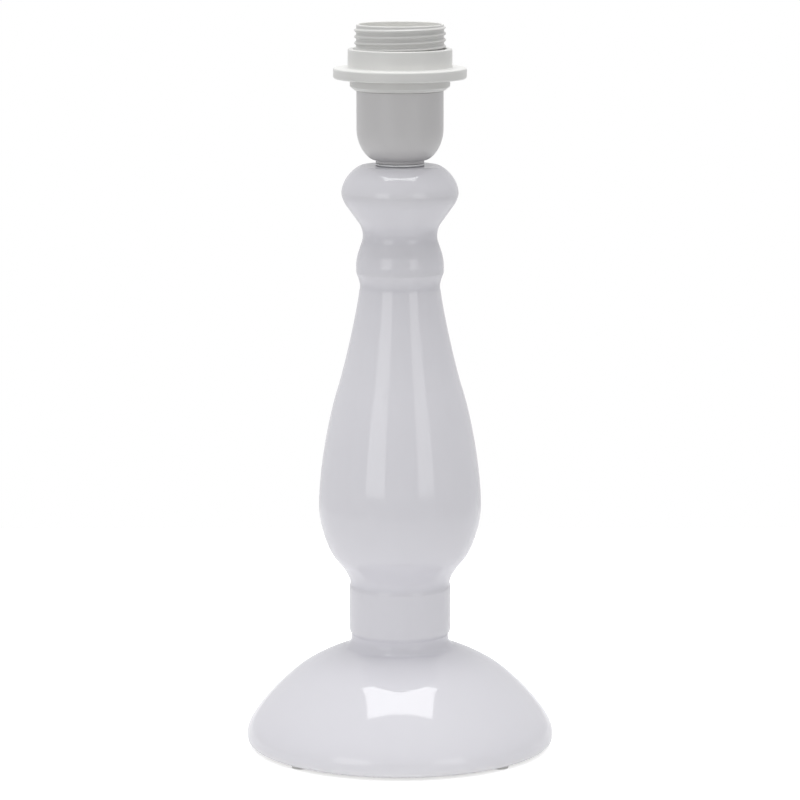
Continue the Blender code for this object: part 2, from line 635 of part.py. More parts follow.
def make_cap(materials):
    """Moulded cap: collar, dome and side, a tube boss inside and a stepped rim for the skirt."""
    outside = joined(
        [at(TUBE_HOLE_RADIUS, Z_HOLDER), at(CAP_COLLAR_RADIUS, Z_HOLDER),
         at(CAP_COLLAR_RADIUS, Z_CAP_DOME)],
        swept(at(CAP_SHOULDER_RADIUS, Z_CAP_DOME), at(CAP_RADIUS, Z_CAP_DOME + CAP_DOME_CORNER_RISE),
              at(CAP_RADIUS, Z_CAP_SIDE), LONG_STEPS),
        [at(CAP_RADIUS, Z_CAP_SHOULDER), at(CAP_RIM_RADIUS, Z_CAP_SHOULDER), at(CAP_RIM_RADIUS, Z_CAP_RIM)],
    )
    bore = CAP_RIM_RADIUS - CAP_RIM_WALL
    side_bore = CAP_RADIUS - CAP_WALL
    rim_root = Z_CAP_SHOULDER - CAP_RIM_ROOT
    inside = joined(
        [at(bore, Z_CAP_RIM), at(bore, rim_root), at(side_bore, rim_root - (side_bore - bore))],
        swept(at(side_bore, Z_CAP_FLOOR + CAP_INSIDE_ROUND_RISE), at(side_bore, Z_CAP_FLOOR),
              at(CAP_FLOOR_FLAT_RADIUS, Z_CAP_FLOOR), SHORT_STEPS),
        [at(CAP_BOSS_RADIUS, Z_CAP_FLOOR), at(CAP_BOSS_RADIUS, Z_CAP_BOSS),
         at(TUBE_HOLE_RADIUS, Z_CAP_BOSS)],
    )
    cap = turned("lampholder_cap", joined(outside, inside), HOLDER_FACETS, materials["plastic"])

    grub_level = Z_CAP_DOME + CAP_FLOOR * GRUB_RISE_SHARE
    outward = Vector((0, 1, 0))
    hole_middle = Vector((0, TUBE_RADIUS + CAP_RADIUS / 2, grub_level))
    cut(cap, round_cutter("grub_hole", GRUB_RADIUS + CLEARANCE, CAP_RADIUS, SMALL_FACETS,
                          placed(hole_middle, outward)))
    bm = bmesh.new()
    cylinder_mesh(bm, GRUB_RADIUS, GRUB_LENGTH, SMALL_FACETS, Matrix.Identity(4))
    grub = finish_mesh(bm, "grub_screw", materials["steel"])
    tip = TUBE_RADIUS + CLEARANCE
    grub.matrix_world = placed(Vector((0, tip + GRUB_LENGTH / 2, grub_level)), outward)


def make_skirt(materials):
    """Skirt that screws on the cap: chamfered lip, plain thread zone, open mouth, ledge inside."""
    ledge_top = Z_SKIRT_LEDGE + SKIRT_LEDGE_THICKNESS
    ledge_bore = CARRIER_RADIUS + CLEARANCE
    turned("lampholder_skirt", [
        at(SKIRT_LOWER_BORE, Z_SKIRT), at(LIP_FOOT_RADIUS, Z_SKIRT),
        at(LIP_RADIUS, Z_SKIRT + LIP_CHAMFER_RISE), at(LIP_RADIUS, Z_LIP), at(THREAD_RADIUS, Z_LIP),
        at(THREAD_RADIUS, Z_MOUTH - RIM_EDGE), at(THREAD_RADIUS - RIM_EDGE, Z_MOUTH),
        at(SKIRT_UPPER_BORE, Z_MOUTH), at(SKIRT_UPPER_BORE, ledge_top), at(ledge_bore, ledge_top),
        at(ledge_bore, Z_SKIRT_LEDGE), at(SKIRT_LOWER_BORE, Z_SKIRT_LEDGE),
    ], HOLDER_FACETS, materials["plastic"])


def make_shade_ring(materials):
    """Ring that clamps a shade on the lip: broad flange below, plain collar above."""
    flange_round = swept(at(RING_FLANGE_RADIUS, Z_RING_FLANGE - RING_FLANGE_EDGE),
                         at(RING_FLANGE_RADIUS, Z_RING_FLANGE),
                         at(RING_FLANGE_RADIUS - RING_FLANGE_EDGE, Z_RING_FLANGE), SHORT_STEPS)
    cove = [at(RING_COLLAR_RADIUS + RING_COVE, Z_RING_FLANGE),
            at(RING_COLLAR_RADIUS, Z_RING_FLANGE + RING_COVE)]
    collar_round = swept(at(RING_COLLAR_RADIUS, Z_RING_TOP - RING_COLLAR_EDGE),
                         at(RING_COLLAR_RADIUS, Z_RING_TOP),
                         at(RING_COLLAR_RADIUS - RING_COLLAR_EDGE, Z_RING_TOP), FILLET_STEPS)
    outline = joined([at(RING_BORE_RADIUS, Z_RING), at(RING_FLANGE_RADIUS - RING_COVE, Z_RING),
                      at(RING_FLANGE_RADIUS, Z_RING + RING_COVE)],
                     flange_round, cove, collar_round, [at(RING_BORE_RADIUS, Z_RING_TOP)])
    turned("shade_ring", outline, HOLDER_FACETS, materials["plastic"], level=Z_RING)


def rivet_places():
    """Where each rivet stands on the shell's floor."""
    return [Vector((RIVET_CIRCLE_RADIUS * math.cos(angle), RIVET_CIRCLE_RADIUS * math.sin(angle), 0))
            for angle in RIVET_ANGLES]


def make_carrier(materials):
    """Cup of insulator that holds the shell and contact, with a flange clamped round its middle."""
    carrier = turned("contact_carrier", [
        at(0, Z_CARRIER), at(CARRIER_RADIUS, Z_CARRIER), at(CARRIER_RADIUS, Z_CARRIER_FLANGE),
        at(CARRIER_FLANGE_RADIUS, Z_CARRIER_FLANGE), at(CARRIER_FLANGE_RADIUS, Z_CARRIER_FLANGE_TOP),
        at(CARRIER_RADIUS, Z_CARRIER_FLANGE_TOP), at(CARRIER_RADIUS, Z_CARRIER_TOP),
        at(CARRIER_WELL_RADIUS, Z_CARRIER_TOP), at(CARRIER_WELL_RADIUS, Z_CARRIER_FLOOR),
        at(0, Z_CARRIER_FLOOR),
    ], HOLDER_FACETS, materials["insulator"])
    floor_middle = Z_CARRIER + CARRIER_FLOOR_THICKNESS / 2
    slot_width = TONGUE_THICKNESS + TONGUE_SWING_ROOM + CLEARANCE * 2
    slot_centre = Vector((TONGUE_LEG_OFFSET - CLEARANCE + slot_width / 2, 0, floor_middle))
    slot_size = (slot_width, TONGUE_WIDTH + CLEARANCE * 2, CARRIER_FLOOR_THICKNESS + CUT_OVERRUN)
    cut(carrier, as_cutter(box("contact_slot", slot_size, slot_centre, None)))
    for number, place in enumerate(rivet_places()):
        place.z = floor_middle
        cut(carrier, round_cutter(f"carrier_rivet_hole_{number}", RIVET_RADIUS + CLEARANCE,
                                  CARRIER_FLOOR_THICKNESS + CUT_OVERRUN, SMALL_FACETS,
                                  Matrix.Translation(place)))


def make_shell(materials):
    """Screw shell of the lamp cap, drawn here as its plain envelope, with its two rivets."""
    floor_top = Z_SHELL + SHELL_WALL
    lip_top = Z_SHELL_LIP + SHELL_WALL
    shell = turned("screw_shell", [
        at(SHELL_BORE_RADIUS - SHELL_FLOOR_WIDTH, Z_SHELL), at(SHELL_RADIUS, Z_SHELL),
        at(SHELL_RADIUS, Z_SHELL_LIP), at(SHELL_RADIUS + SHELL_LIP_WIDTH, Z_SHELL_LIP),
        at(SHELL_RADIUS + SHELL_LIP_WIDTH, lip_top), at(SHELL_BORE_RADIUS, lip_top),
        at(SHELL_BORE_RADIUS, floor_top), at(SHELL_BORE_RADIUS - SHELL_FLOOR_WIDTH, floor_top),
    ], HOLDER_FACETS, materials["nickel"])
    head_bottom = floor_top + CLEARANCE
    head_top = head_bottom + RIVET_HEAD_RISE
    for number, place in enumerate(rivet_places()):
        cut(shell, round_cutter(f"shell_rivet_hole_{number}", RIVET_RADIUS + CLEARANCE,
                                SHELL_WALL + CUT_OVERRUN, SMALL_FACETS,
                                Matrix.Translation((place.x, place.y, Z_SHELL + SHELL_WALL / 2))))
        rivet = turned(f"shell_rivet_{number + 1}", [
            at(0, Z_CARRIER), at(RIVET_RADIUS, Z_CARRIER), at(RIVET_RADIUS, head_bottom),
            at(RIVET_HEAD_RADIUS, head_bottom), at(RIVET_HEAD_RADIUS, head_top), at(0, head_top),
        ], SMALL_FACETS, materials["brass"])
        rivet.location.x, rivet.location.y = place.x, place.y


def tongue_centre_line():
    """Middle line of the contact strip in X and Z, from the leg's lower end to the tip."""
    bend = at(TONGUE_LEG_OFFSET + TONGUE_THICKNESS / 2, Z_SHELL + TONGUE_THICKNESS / 2)
    crest = at(-TONGUE_CREST_PAST_AXIS, bend.y + TONGUE_LIFT)
    tip = at(crest.x - TONGUE_TIP_LENGTH, crest.y - TONGUE_TIP_DROP)
    return [at(bend.x, Z_CARRIER), bend, crest, tip]


def make_centre_contact(materials):
    """Sprung strip of brass; its origin is the bend, the axis that it is pressed down about."""
    line = tongue_centre_line()
    pivot = line[1]
    bm = bmesh.new()
    rows = []
    for index, point in enumerate(line):
        before = (point - line[index - 1]).normalized() if index else (line[1] - point).normalized()
        after = (line[index + 1] - point).normalized() if index + 1 < len(line) else before
        across = Vector((-(before + after).y, (before + after).x)).normalized()
        stretch = 1 / across.dot(Vector((-after.y, after.x)))
        offset = across * TONGUE_THICKNESS / 2 * stretch
        rows.append([bm.verts.new((spot.x - pivot.x, side, spot.y - pivot.y))
                     for spot in (point + offset, point - offset)
                     for side in (-TONGUE_WIDTH / 2, TONGUE_WIDTH / 2)])
    for lower, upper in zip(rows, rows[1:]):
        for a, b in ((0, 1), (1, 3), (3, 2), (2, 0)):
            bm.faces.new((lower[a], lower[b], upper[b], upper[a]))
    for row in (rows[0], rows[-1]):
        bm.faces.new((row[0], row[1], row[3], row[2]))
    contact = finish_mesh(bm, "centre_contact", materials["brass"])
    contact.location = (pivot.x, 0, pivot.y)


def make_terminals(materials):
    """Brass terminal block on each side under the carrier, each with its clamping screw."""
    length, width, height = TERMINAL_SIZE
    screw_level = Z_TERMINAL_TOP - height * SCREW_DROP_SHARE
    for name, side in (("live", 1), ("neutral", -1)):
        centre = Vector((side * TERMINAL_OFFSET, 0, Z_TERMINAL_TOP - height / 2))
        block = box(f"{name}_terminal", TERMINAL_SIZE, centre, materials["brass"], TERMINAL_EDGE)
        outer_face = side * (TERMINAL_OFFSET + length / 2)
        outward = Vector((side, 0, 0))
        wire_middle = Vector((outer_face - side * (length - WIRE_HOLE_INSET), 0, centre.z - height / 4))
        cut(block, round_cutter(f"{name}_wire_hole", WIRE_HOLE_RADIUS, height, SMALL_FACETS,
                                Matrix.Translation(wire_middle)))
        bore_length = SCREW_LENGTH * 2
        placing = placed(Vector((outer_face, 0, screw_level)), outward)
        cut(block, round_cutter(f"{name}_screw_hole", SCREW_RADIUS + CLEARANCE, bore_length, SMALL_FACETS,
                                placing))
        make_terminal_screw(f"{name}_screw", placing, materials)


def make_terminal_screw(name, placing, materials):
    """Cheese-headed screw: its head outside the face at the placing's origin, its shank inside."""
    head_back = CLEARANCE
    head_top = head_back + SCREW_HEAD_THICKNESS
    screw = turned(name, [
        at(0, head_back - SCREW_LENGTH), at(SCREW_RADIUS, head_back - SCREW_LENGTH),
        at(SCREW_RADIUS, head_back), at(SCREW_HEAD_RADIUS, head_back),
        at(SCREW_HEAD_RADIUS, head_top - SCREW_HEAD_EDGE),
        at(SCREW_HEAD_RADIUS - SCREW_HEAD_EDGE, head_top), at(0, head_top),
    ], SMALL_FACETS, materials["steel"])
    screw.matrix_world = placing


def main():
    """Clear the scene and build every piece."""
    for leftover in list(bpy.data.objects):
        bpy.data.objects.remove(leftover, do_unlink=True)
    materials = make_materials()
    make_pads(materials)
    make_body(materials)
    make_cable_bush(materials)
    make_tube_and_clamp(materials)
    make_neck_washer(materials)
    make_cap(materials)
    make_skirt(materials)
    make_shade_ring(materials)
    make_carrier(materials)
    make_shell(materials)
    make_centre_contact(materials)
    make_terminals(materials)


main()
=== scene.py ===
"""Looks of the table lamp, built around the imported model.

The CAD's pieces are drawn again here with their fine detail: a glaze that softens every edge of the
ceramic, fillets and threads on the lampholder, rolled and cut threads on the metal. Outlines are in
millimetres as (radius, level), the scene is in metres. The turned axis is Z, the front faces -Y.
"""

import math

import bmesh
import bpy
from mathutils import Matrix, Vector, noise


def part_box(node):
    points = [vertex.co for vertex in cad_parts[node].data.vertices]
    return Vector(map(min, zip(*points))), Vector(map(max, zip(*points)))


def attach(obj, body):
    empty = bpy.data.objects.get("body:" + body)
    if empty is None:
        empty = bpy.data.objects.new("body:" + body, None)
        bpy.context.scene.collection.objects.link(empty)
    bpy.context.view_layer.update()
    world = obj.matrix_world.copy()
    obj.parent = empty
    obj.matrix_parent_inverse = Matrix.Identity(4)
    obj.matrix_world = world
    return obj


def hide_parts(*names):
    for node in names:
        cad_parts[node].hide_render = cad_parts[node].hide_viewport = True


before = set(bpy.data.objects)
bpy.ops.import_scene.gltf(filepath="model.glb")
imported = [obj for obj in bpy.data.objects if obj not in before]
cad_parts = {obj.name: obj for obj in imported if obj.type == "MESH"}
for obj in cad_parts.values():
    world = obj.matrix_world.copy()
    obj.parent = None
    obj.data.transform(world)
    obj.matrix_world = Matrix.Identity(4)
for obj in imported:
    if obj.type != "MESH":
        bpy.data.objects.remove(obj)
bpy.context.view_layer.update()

MM = 0.001

# Mesh density
BODY_SEGMENTS = 192
HOLDER_SEGMENTS = 160
NUT_SEGMENTS = 96
TUBE_SEGMENTS = 64
SMALL_SEGMENTS = 40
SWEEP_STEPS = 28
RIVET_STEPS = 8
FILLET_STEPS = 5
SHARP_ANGLE = math.radians(40)

# Distances and areas that count as none, and how far a fillet may reach along a leg
WELD = 0.002
SAME_PLACE = 1e-5
ON_AXIS = 1e-6
LEAST_AREA = 1e-9
FILLET_REACH_SHARE = 0.48

# The gap that the solids keep between pieces that touch, and the bore that clears tube or bush
CLEARANCE = 0.3
CLEAR_BORE = 5.3

# Ceramic body: each step is a line to a point, or a rounded stretch by a corner. The dome, belly
# and taper follow the photograph a little closer than the CAD's plainer solid
WALL = 5.0
TUBE_HOLE = 5.8
FOOT_LAND_INNER = 57.0
FOOT_RING_TOP = 4.3
BODY_START = (65.0, 1.3)
BODY_STEPS = [
    ((67.4, 1.3), (67.4, 3.7)),
    (None, (67.4, 5.8)),
    ((67.4, 15.48), (46.1, 32.7)),
    ((36.818, 40.204), (24.0, 43.9)),
    ((21.3, 45.37), (21.3, 48.1)),
    (None, (21.3, 50.1)),
    ((22.3, 50.1), (22.3, 53.1)),
    (None, (22.3, 70.9)),
    (None, (21.9, 72.0)),
    (None, (21.9, 73.1)),
    ((21.9, 76.726), (27.8, 82.9)),
    ((35.5, 91.684), (35.5, 107.3)),
    ((35.5, 134.05), (26.6, 160.8)),
    ((19.747, 185.52), (17.7, 202.0)),
    (None, (17.4, 202.9)),
    (None, (17.4, 203.8)),
    ((17.4, 206.455), (19.05, 209.7)),
    (None, (19.05, 213.1)),
    ((19.05, 215.85), (18.1, 218.6)),
    (None, (16.6, 223.1)),
    ((15.0, 227.4), (17.7, 231.2)),
    (None, (23.5, 239.3)),
    ((25.4, 242.003), (25.4, 244.4)),
    ((25.4, 252.6), (17.0, 256.3)),
    (None, (5.8, 256.3)),
]
DOME_STEPS, BELLY_STEPS, HEAD_STEPS = (2, 3), (10, 11, 12, 13), (22, 23)
NECK_STEP, THROAT_STEP, FLARE_STEP = 7, 19, 20
THROAT_BORE = 11.6

# How the glaze softens the outline, and how the cast surface waves under it
GLAZE_SAMPLE = 0.25
GLAZE_BLUR = 0.45
POOL_BLUR = 1.3
POOL_GAIN = 3.0
OUTLINE_TOLERANCE = 0.004
OUTLINE_MAX_STEP = 2.5
BLUR_REACH = 3
WAVE_DEPTH = 0.07
WAVE_LENGTH = 17.0


def sweep(start, corner, end, steps=SWEEP_STEPS):
    """Quarter of an ellipse from start to end that touches both legs of the corner."""
    points = []
    for step in range(steps + 1):
        angle = step / steps * math.pi / 2
        a, b = 1 - math.sin(angle), 1 - math.cos(angle)
        points.append(tuple(c + (s - c) * a + (e - c) * b for s, c, e in zip(start, corner, end)))
    return points


def without_repeats(points):
    """The points with those that lie on the one before left out."""
    kept = []
    for point in points:
        if not kept or math.dist(point[:2], kept[-1][:2]) > SAME_PLACE:
            kept.append(point)
    return kept


def outer_outline():
    """The body's outer outline from the foot's land to the hole in the seat."""
    points = [BODY_START]
    for corner, end in BODY_STEPS:
        points += sweep(points[-1], corner, end) if corner else [end]
    return without_repeats(points)


def stretch(step):
    """Start, corner and end of one rounded stretch of the body."""
    start = BODY_STEPS[step - 1][1] if step else BODY_START
    return start, BODY_STEPS[step][0], BODY_STEPS[step][1]


def inside_of(step):
    """A rounded stretch moved in by the body's wall."""
    start, corner, end = (Vector(p) for p in stretch(step))
    first, last = (corner - start).normalized(), (end - corner).normalized()
    inner_start = start + Vector((-first.y, first.x)) * WALL
    inner_end = end + Vector((-last.y, last.x)) * WALL
    span = inner_end - inner_start
    reach = (span.x * last.y - span.y * last.x) / (first.x * last.y - first.y * last.x)
    return sweep(inner_start, inner_start + first * reach, inner_end, SWEEP_STEPS // 2)


def inner_outline():
    """The body's inner outline from the tube hole at the top down to the foot's land."""
    neck, neck_top = BODY_STEPS[NECK_STEP][1]
    seat = BODY_STEPS[-1][1][1]
    rising = [(FOOT_LAND_INNER, BODY_START[1]), (FOOT_LAND_INNER, FOOT_RING_TOP)]
    for step in DOME_STEPS:
        rising += inside_of(step)
    rising += [(neck - WALL, rising[-1][1]), (neck - WALL, neck_top)]
    for step in BELLY_STEPS:
        rising += inside_of(step)
    rising += [(THROAT_BORE, BODY_STEPS[step][1][1]) for step in (THROAT_STEP, FLARE_STEP)]
    for step in HEAD_STEPS:
        rising += inside_of(step)
    rising += [(TUBE_HOLE, seat - WALL), (TUBE_HOLE, seat)]
    return without_repeats(rising[::-1])


def resampled(points, spacing):
    """Points at equal distances along an open outline."""
    result, left = [points[0]], 0.0
    for first, second in zip(points, points[1:]):
        span = math.dist(first, second)
        place = spacing - left
        while place <= span:
            share = place / span
            result.append(tuple(a + (b - a) * share for a, b in zip(first, second)))
            place += spacing
        left = span - (place - spacing)
    result.append(points[-1])
    return result


def blurred(rows, width, spacing):
    """Rows of numbers blurred along their order, with both ends held."""
    reach = math.ceil(BLUR_REACH * width / spacing)
    weights = [math.exp(-((k * spacing / width) ** 2) / 2) for k in range(-reach, reach + 1)]
    total = sum(weights)
    result = []
    for index in range(len(rows)):
        span = min(reach, index, len(rows) - 1 - index)
        near = rows[index - span:index + span + 1]
        part = weights[reach - span:reach + span + 1]
        scale = sum(part) if span < reach else total
        result.append(tuple(sum(w * row[i] for w, row in zip(part, near)) / scale
                            for i in range(len(rows[0]))))
    return result


def glazed(points):
    """The outline as the glaze leaves it, each point with how much glaze pools there (-1 to 1)."""
    fine = blurred(resampled(points, GLAZE_SAMPLE), GLAZE_BLUR, GLAZE_SAMPLE)
    turns = []
    for index in range(len(fine)):
        before, after = fine[max(index - 1, 0)], fine[min(index + 1, len(fine) - 1)]
        first = Vector(fine[index]) - Vector(before)
        second = Vector(after) - Vector(fine[index])
        cross = first.x * second.y - first.y * second.x
        length = max(first.length * second.length, LEAST_AREA)
        turns.append((-cross / length / GLAZE_SAMPLE,))
    pools = [max(-1.0, min(1.0, turn[0] * POOL_GAIN))
             for turn in blurred(turns, POOL_BLUR, GLAZE_SAMPLE)]
    return simplified([(*point, pool) for point, pool in zip(fine, pools)])


def simplified(points):
    """Fewer points on the same outline."""
    keep = {0, len(points) - 1}
    stack = [(0, len(points) - 1)]
    while stack:
        first, last = stack.pop()
        if last - first < 2:
            continue
        a, b = Vector(points[first][:2]), Vector(points[last][:2])
        way = (b - a).normalized()
        offsets = [abs((Vector(p[:2]) - a).cross(way)) for p in points[first + 1:last]]
        worst = max(range(len(offsets)), key=offsets.__getitem__)
        bends = offsets[worst] > OUTLINE_TOLERANCE
        if bends or (b - a).length > OUTLINE_MAX_STEP:
            middle = first + 1 + worst if bends else (first + last) // 2
            keep.add(middle)
            stack += [(first, middle), (middle, last)]
    return [points[index] for index in sorted(keep)]


def rounded(corners, closed=True):
    """Outline with a fillet at each corner, given as (radius, level, fillet)."""
    points = []
    count = len(corners)
    for index, corner in enumerate(corners):
        here = Vector(corner[:2])
        fillet = corner[2] if len(corner) > 2 else 0
        before = Vector(corners[index - 1][:2]) - here
        after = Vector(corners[(index + 1) % count][:2]) - here
        if not fillet or (not closed and index in (0, count - 1)):
            points.append(tuple(here))
            continue
        half = before.angle(after) / 2
        reach = min(fillet / math.tan(half), before.length * FILLET_REACH_SHARE,
                    after.length * FILLET_REACH_SHARE)
        points += sweep(here + before.normalized() * reach, here, here + after.normalized() * reach,
                        FILLET_STEPS)
    return without_repeats(points)


class Thread:
    """Right-hand helical stretch of an outline, plain at both ends. Its shape lists shares of the
    pitch with shares of the depth, and a crest passes the front at the level given."""

    FRONT_TURN = 0.75

    def __init__(self, low, high, root, depth, pitch, crest, shape, fades):
        self.low, self.high, self.root, self.depth, self.pitch = low, high, root, depth, pitch
        self.shape, self.fades = shape, fades
        self.count = len(shape)
        self.base = low - (low - crest + self.FRONT_TURN * pitch) % pitch - pitch
        self.rows = math.ceil((high - self.base) / pitch + 1) * self.count

    def spot(self, turn, row):
        """Radius and level of a row at a share of a turn, or which plain end it has run into."""
        lap, place = divmod(row, self.count)
        share, height = self.shape[place]
        level = self.base + (lap + share + turn) * self.pitch
        if level <= self.low:
            return "low"
        if level >= self.high:
            return "high"
        fade = 1.0
        for distance, length in zip((level - self.low, self.high - level), self.fades):
            part = min(1.0, distance / length)
            fade *= part * part * (3 - 2 * part)
        return self.root + self.depth * height * fade, level


def lathe(name, items, segments, materials, slots=None, closed=True, attribute=None):
    """Turned solid from points and threads. A point is (radius, level), or with a third value that
    is kept on its vertices. Slots gives the material of the stretch that ends at each item."""
    verts, values, faces, finishes = [], [], [], []

    def put(radius, column, level, value=0.0):
        angle = column / segments * 2 * math.pi
        verts.append((radius * math.cos(angle), radius * math.sin(angle), level))
        values.append(value)
        return len(verts) - 1

    def ring(radius, level, value=0.0):
        if radius < ON_AXIS:
            return [put(0, 0, level, value)] * segments
        return [put(radius, column, level, value) for column in range(segments)]

    def add(corners, finish):
        unique = [v for i, v in enumerate(corners) if v != corners[i - 1]]
        if len(set(unique)) > 2:
            faces.append(tuple(unique))
            finishes.append(finish)

    rings = {}
    for index, item in enumerate(items):
        if not isinstance(item, Thread):
            rings[index] = ring(*item)
    count = len(items)
    for index in range(count):
        follows = (index + 1) % count
        if follows == 0 and not closed:
            break
        if index in rings and follows in rings:
            one, two = rings[index], rings[follows]
            for column in range(segments):
                beside = (column + 1) % segments
                add((one[column], one[beside], two[beside], two[column]),
                    slots[follows] if slots else 0)
    for index, item in enumerate(items):
        if not isinstance(item, Thread):
            continue
        before, after = rings[(index - 1) % count], rings[(index + 1) % count]
        rising = items[(index - 1) % count][1] < items[(index + 1) % count][1]
        ends = {"low": before if rising else after, "high": after if rising else before}
        grid = {}

        def corner(column, row):
            if column == segments:
                column, row = 0, row + item.count
            if (column, row) not in grid:
                spot = item.spot(column / segments, row)
                if isinstance(spot, str):
                    grid[column, row] = ends[spot][column]
                else:
                    grid[column, row] = put(spot[0], column, spot[1])
            return grid[column, row]

        for column in range(segments):
            for row in range(item.rows):
                add((corner(column, row), corner(column + 1, row),
                     corner(column + 1, row + 1), corner(column, row + 1)),
                    slots[index] if slots else 0)
    mesh = bpy.data.meshes.new(name)
    mesh.from_pydata([tuple(c * MM for c in v) for v in verts], [], faces)
    mesh.polygons.foreach_set("material_index", finishes)
    if attribute:
        mesh.attributes.new(attribute, "FLOAT", "POINT").data.foreach_set("value", values)
    return finished(name, mesh, materials)


def finished(name, mesh, materials):
    """Object of a mesh with outward faces, smooth but for its sharp edges."""
    bm = bmesh.new()
    bm.from_mesh(mesh)
    bmesh.ops.recalc_face_normals(bm, faces=bm.faces)
    bm.to_mesh(mesh)
    bm.free()
    mesh.shade_smooth()
    mesh.set_sharp_from_angle(angle=SHARP_ANGLE)
    for material in materials:
        mesh.materials.append(material)
    piece = bpy.data.objects.new(name, mesh)
    bpy.context.scene.collection.objects.link(piece)
    return piece


def moved(piece, matrix):
    """The piece with its mesh carried to a place."""
    piece.data.transform(matrix)
    return piece


def along(origin, direction):
    """Matrix that turns Z to a direction at an origin in millimetres."""
    turn = Vector(direction).to_track_quat("Z", "Y").to_matrix().to_4x4()
    return Matrix.Translation(Vector(origin) * MM) @ turn


def combined(piece, other, operation="DIFFERENCE"):
    """Apply a Boolean with another mesh, which is then removed, and clear the slivers it leaves."""
    boolean = piece.modifiers.new("combine", "BOOLEAN")
    boolean.operation, boolean.solver, boolean.object = operation, "EXACT", other
    graph = bpy.context.evaluated_depsgraph_get()
    mesh = bpy.data.meshes.new_from_object(piece.evaluated_get(graph), depsgraph=graph)
    piece.modifiers.clear()
    bm = bmesh.new()
    bm.from_mesh(mesh)
    bmesh.ops.remove_doubles(bm, verts=bm.verts, dist=WELD * MM)
    bmesh.ops.triangulate(bm, faces=[face for face in bm.faces if len(face.verts) > 4])
    bmesh.ops.dissolve_degenerate(bm, dist=WELD * MM, edges=bm.edges)
    bm.to_mesh(mesh)
    bm.free()
    old = piece.data
    piece.data = mesh
    bpy.data.meshes.remove(old)
    mesh.name = piece.name
    mesh.shade_smooth()
    mesh.set_sharp_from_angle(angle=SHARP_ANGLE)
    bpy.data.objects.remove(other, do_unlink=True)
    return piece


def rod(name, radius, length, matrix, segments=SMALL_SEGMENTS):
    """Cylinder on the Z axis of a matrix, for cutting."""
    half = length / 2
    outline = [(0, -half), (radius, -half), (radius, half), (0, half)]
    return moved(lathe(name, outline, segments, [], closed=False), matrix)


def block(name, size, centre, materials):
    """Box with its sizes along X, Y and Z, for cutting."""
    bm = bmesh.new()
    bmesh.ops.create_cube(bm, size=MM, matrix=Matrix.Diagonal((*size, 1)))
    mesh = bpy.data.meshes.new(name)
    bm.to_mesh(mesh)
    bm.free()
    return moved(finished(name, mesh, materials), Matrix.Translation(Vector(centre) * MM))


# Materials


class Look:
    """A node material, built from noises in the object's own coordinates."""

    MIX_COLOURS, MIX_RESULT = (6, 7), 2

    def __init__(self, name, colour, roughness, **sockets):
        self.material = bpy.data.materials.new(name)
        self.material.use_nodes = True
        self.tree = self.material.node_tree
        self.shader = self.tree.nodes["Principled BSDF"]
        self.shader.inputs["Base Color"].default_value = (*colour, 1)
        self.shader.inputs["Roughness"].default_value = roughness
        for socket, value in sockets.items():
            self.shader.inputs[socket.replace("_", " ")].default_value = value
        self.place = self.tree.nodes.new("ShaderNodeTexCoord").outputs["Object"]
        self.normal = None

    def noise(self, size, detail=2.0, stretch=(1, 1, 1), distortion=0.0):
        """Noise whose features are about a size in millimetres."""
        mapping = self.tree.nodes.new("ShaderNodeMapping")
        mapping.inputs["Scale"].default_value = tuple(1 / (size * MM) / s for s in stretch)
        self.tree.links.new(self.place, mapping.inputs["Vector"])
        texture = self.tree.nodes.new("ShaderNodeTexNoise")
        texture.inputs["Scale"].default_value = 1
        texture.inputs["Detail"].default_value = detail
        texture.inputs["Distortion"].default_value = distortion
        self.tree.links.new(mapping.outputs["Vector"], texture.inputs["Vector"])
        return texture.outputs[0]

    def cells(self, size):
        """Distance to the middle of the nearest cell of a size in millimetres."""
        texture = self.tree.nodes.new("ShaderNodeTexVoronoi")
        texture.inputs["Scale"].default_value = 1 / (size * MM)
        self.tree.links.new(self.place, texture.inputs["Vector"])
        return texture.outputs["Distance"]

    def attribute(self, name):
        """A value kept on the vertices."""
        node = self.tree.nodes.new("ShaderNodeAttribute")
        node.attribute_name = name
        return node.outputs["Fac"]

    def ranged(self, value, start, end, low, high):
        """A value carried from one range to another, and held inside it."""
        node = self.tree.nodes.new("ShaderNodeMapRange")
        for index, number in enumerate((start, end, low, high), 1):
            node.inputs[index].default_value = number
        self.tree.links.new(value, node.inputs[0])
        return node.outputs[0]

    def mixed(self, share, one, two):
        """Two colours, each a colour or a socket, mixed by a value."""
        node = self.tree.nodes.new("ShaderNodeMix")
        node.data_type = "RGBA"
        self.tree.links.new(share, node.inputs[0])
        for index, colour in zip(self.MIX_COLOURS, (one, two)):
            if isinstance(colour, tuple):
                node.inputs[index].default_value = (*colour, 1)
            else:
                self.tree.links.new(colour, node.inputs[index])
        return node.outputs[self.MIX_RESULT]

    def colour(self, socket):
        """Use a colour socket as the base colour."""
        self.tree.links.new(socket, self.shader.inputs["Base Color"])

    def rough(self, socket):
        """Use a value socket as the roughness."""
        self.tree.links.new(socket, self.shader.inputs["Roughness"])

    def bump(self, height, depth):
        """Add relief of a depth in millimetres on top of what is there."""
        node = self.tree.nodes.new("ShaderNodeBump")
        node.inputs["Strength"].default_value = 1
        node.inputs["Distance"].default_value = depth * MM
        self.tree.links.new(height, node.inputs["Height"])
        if self.normal:
            self.tree.links.new(self.normal, node.inputs["Normal"])
        self.normal = node.outputs["Normal"]
        self.tree.links.new(self.normal, self.shader.inputs["Normal"])
        return self


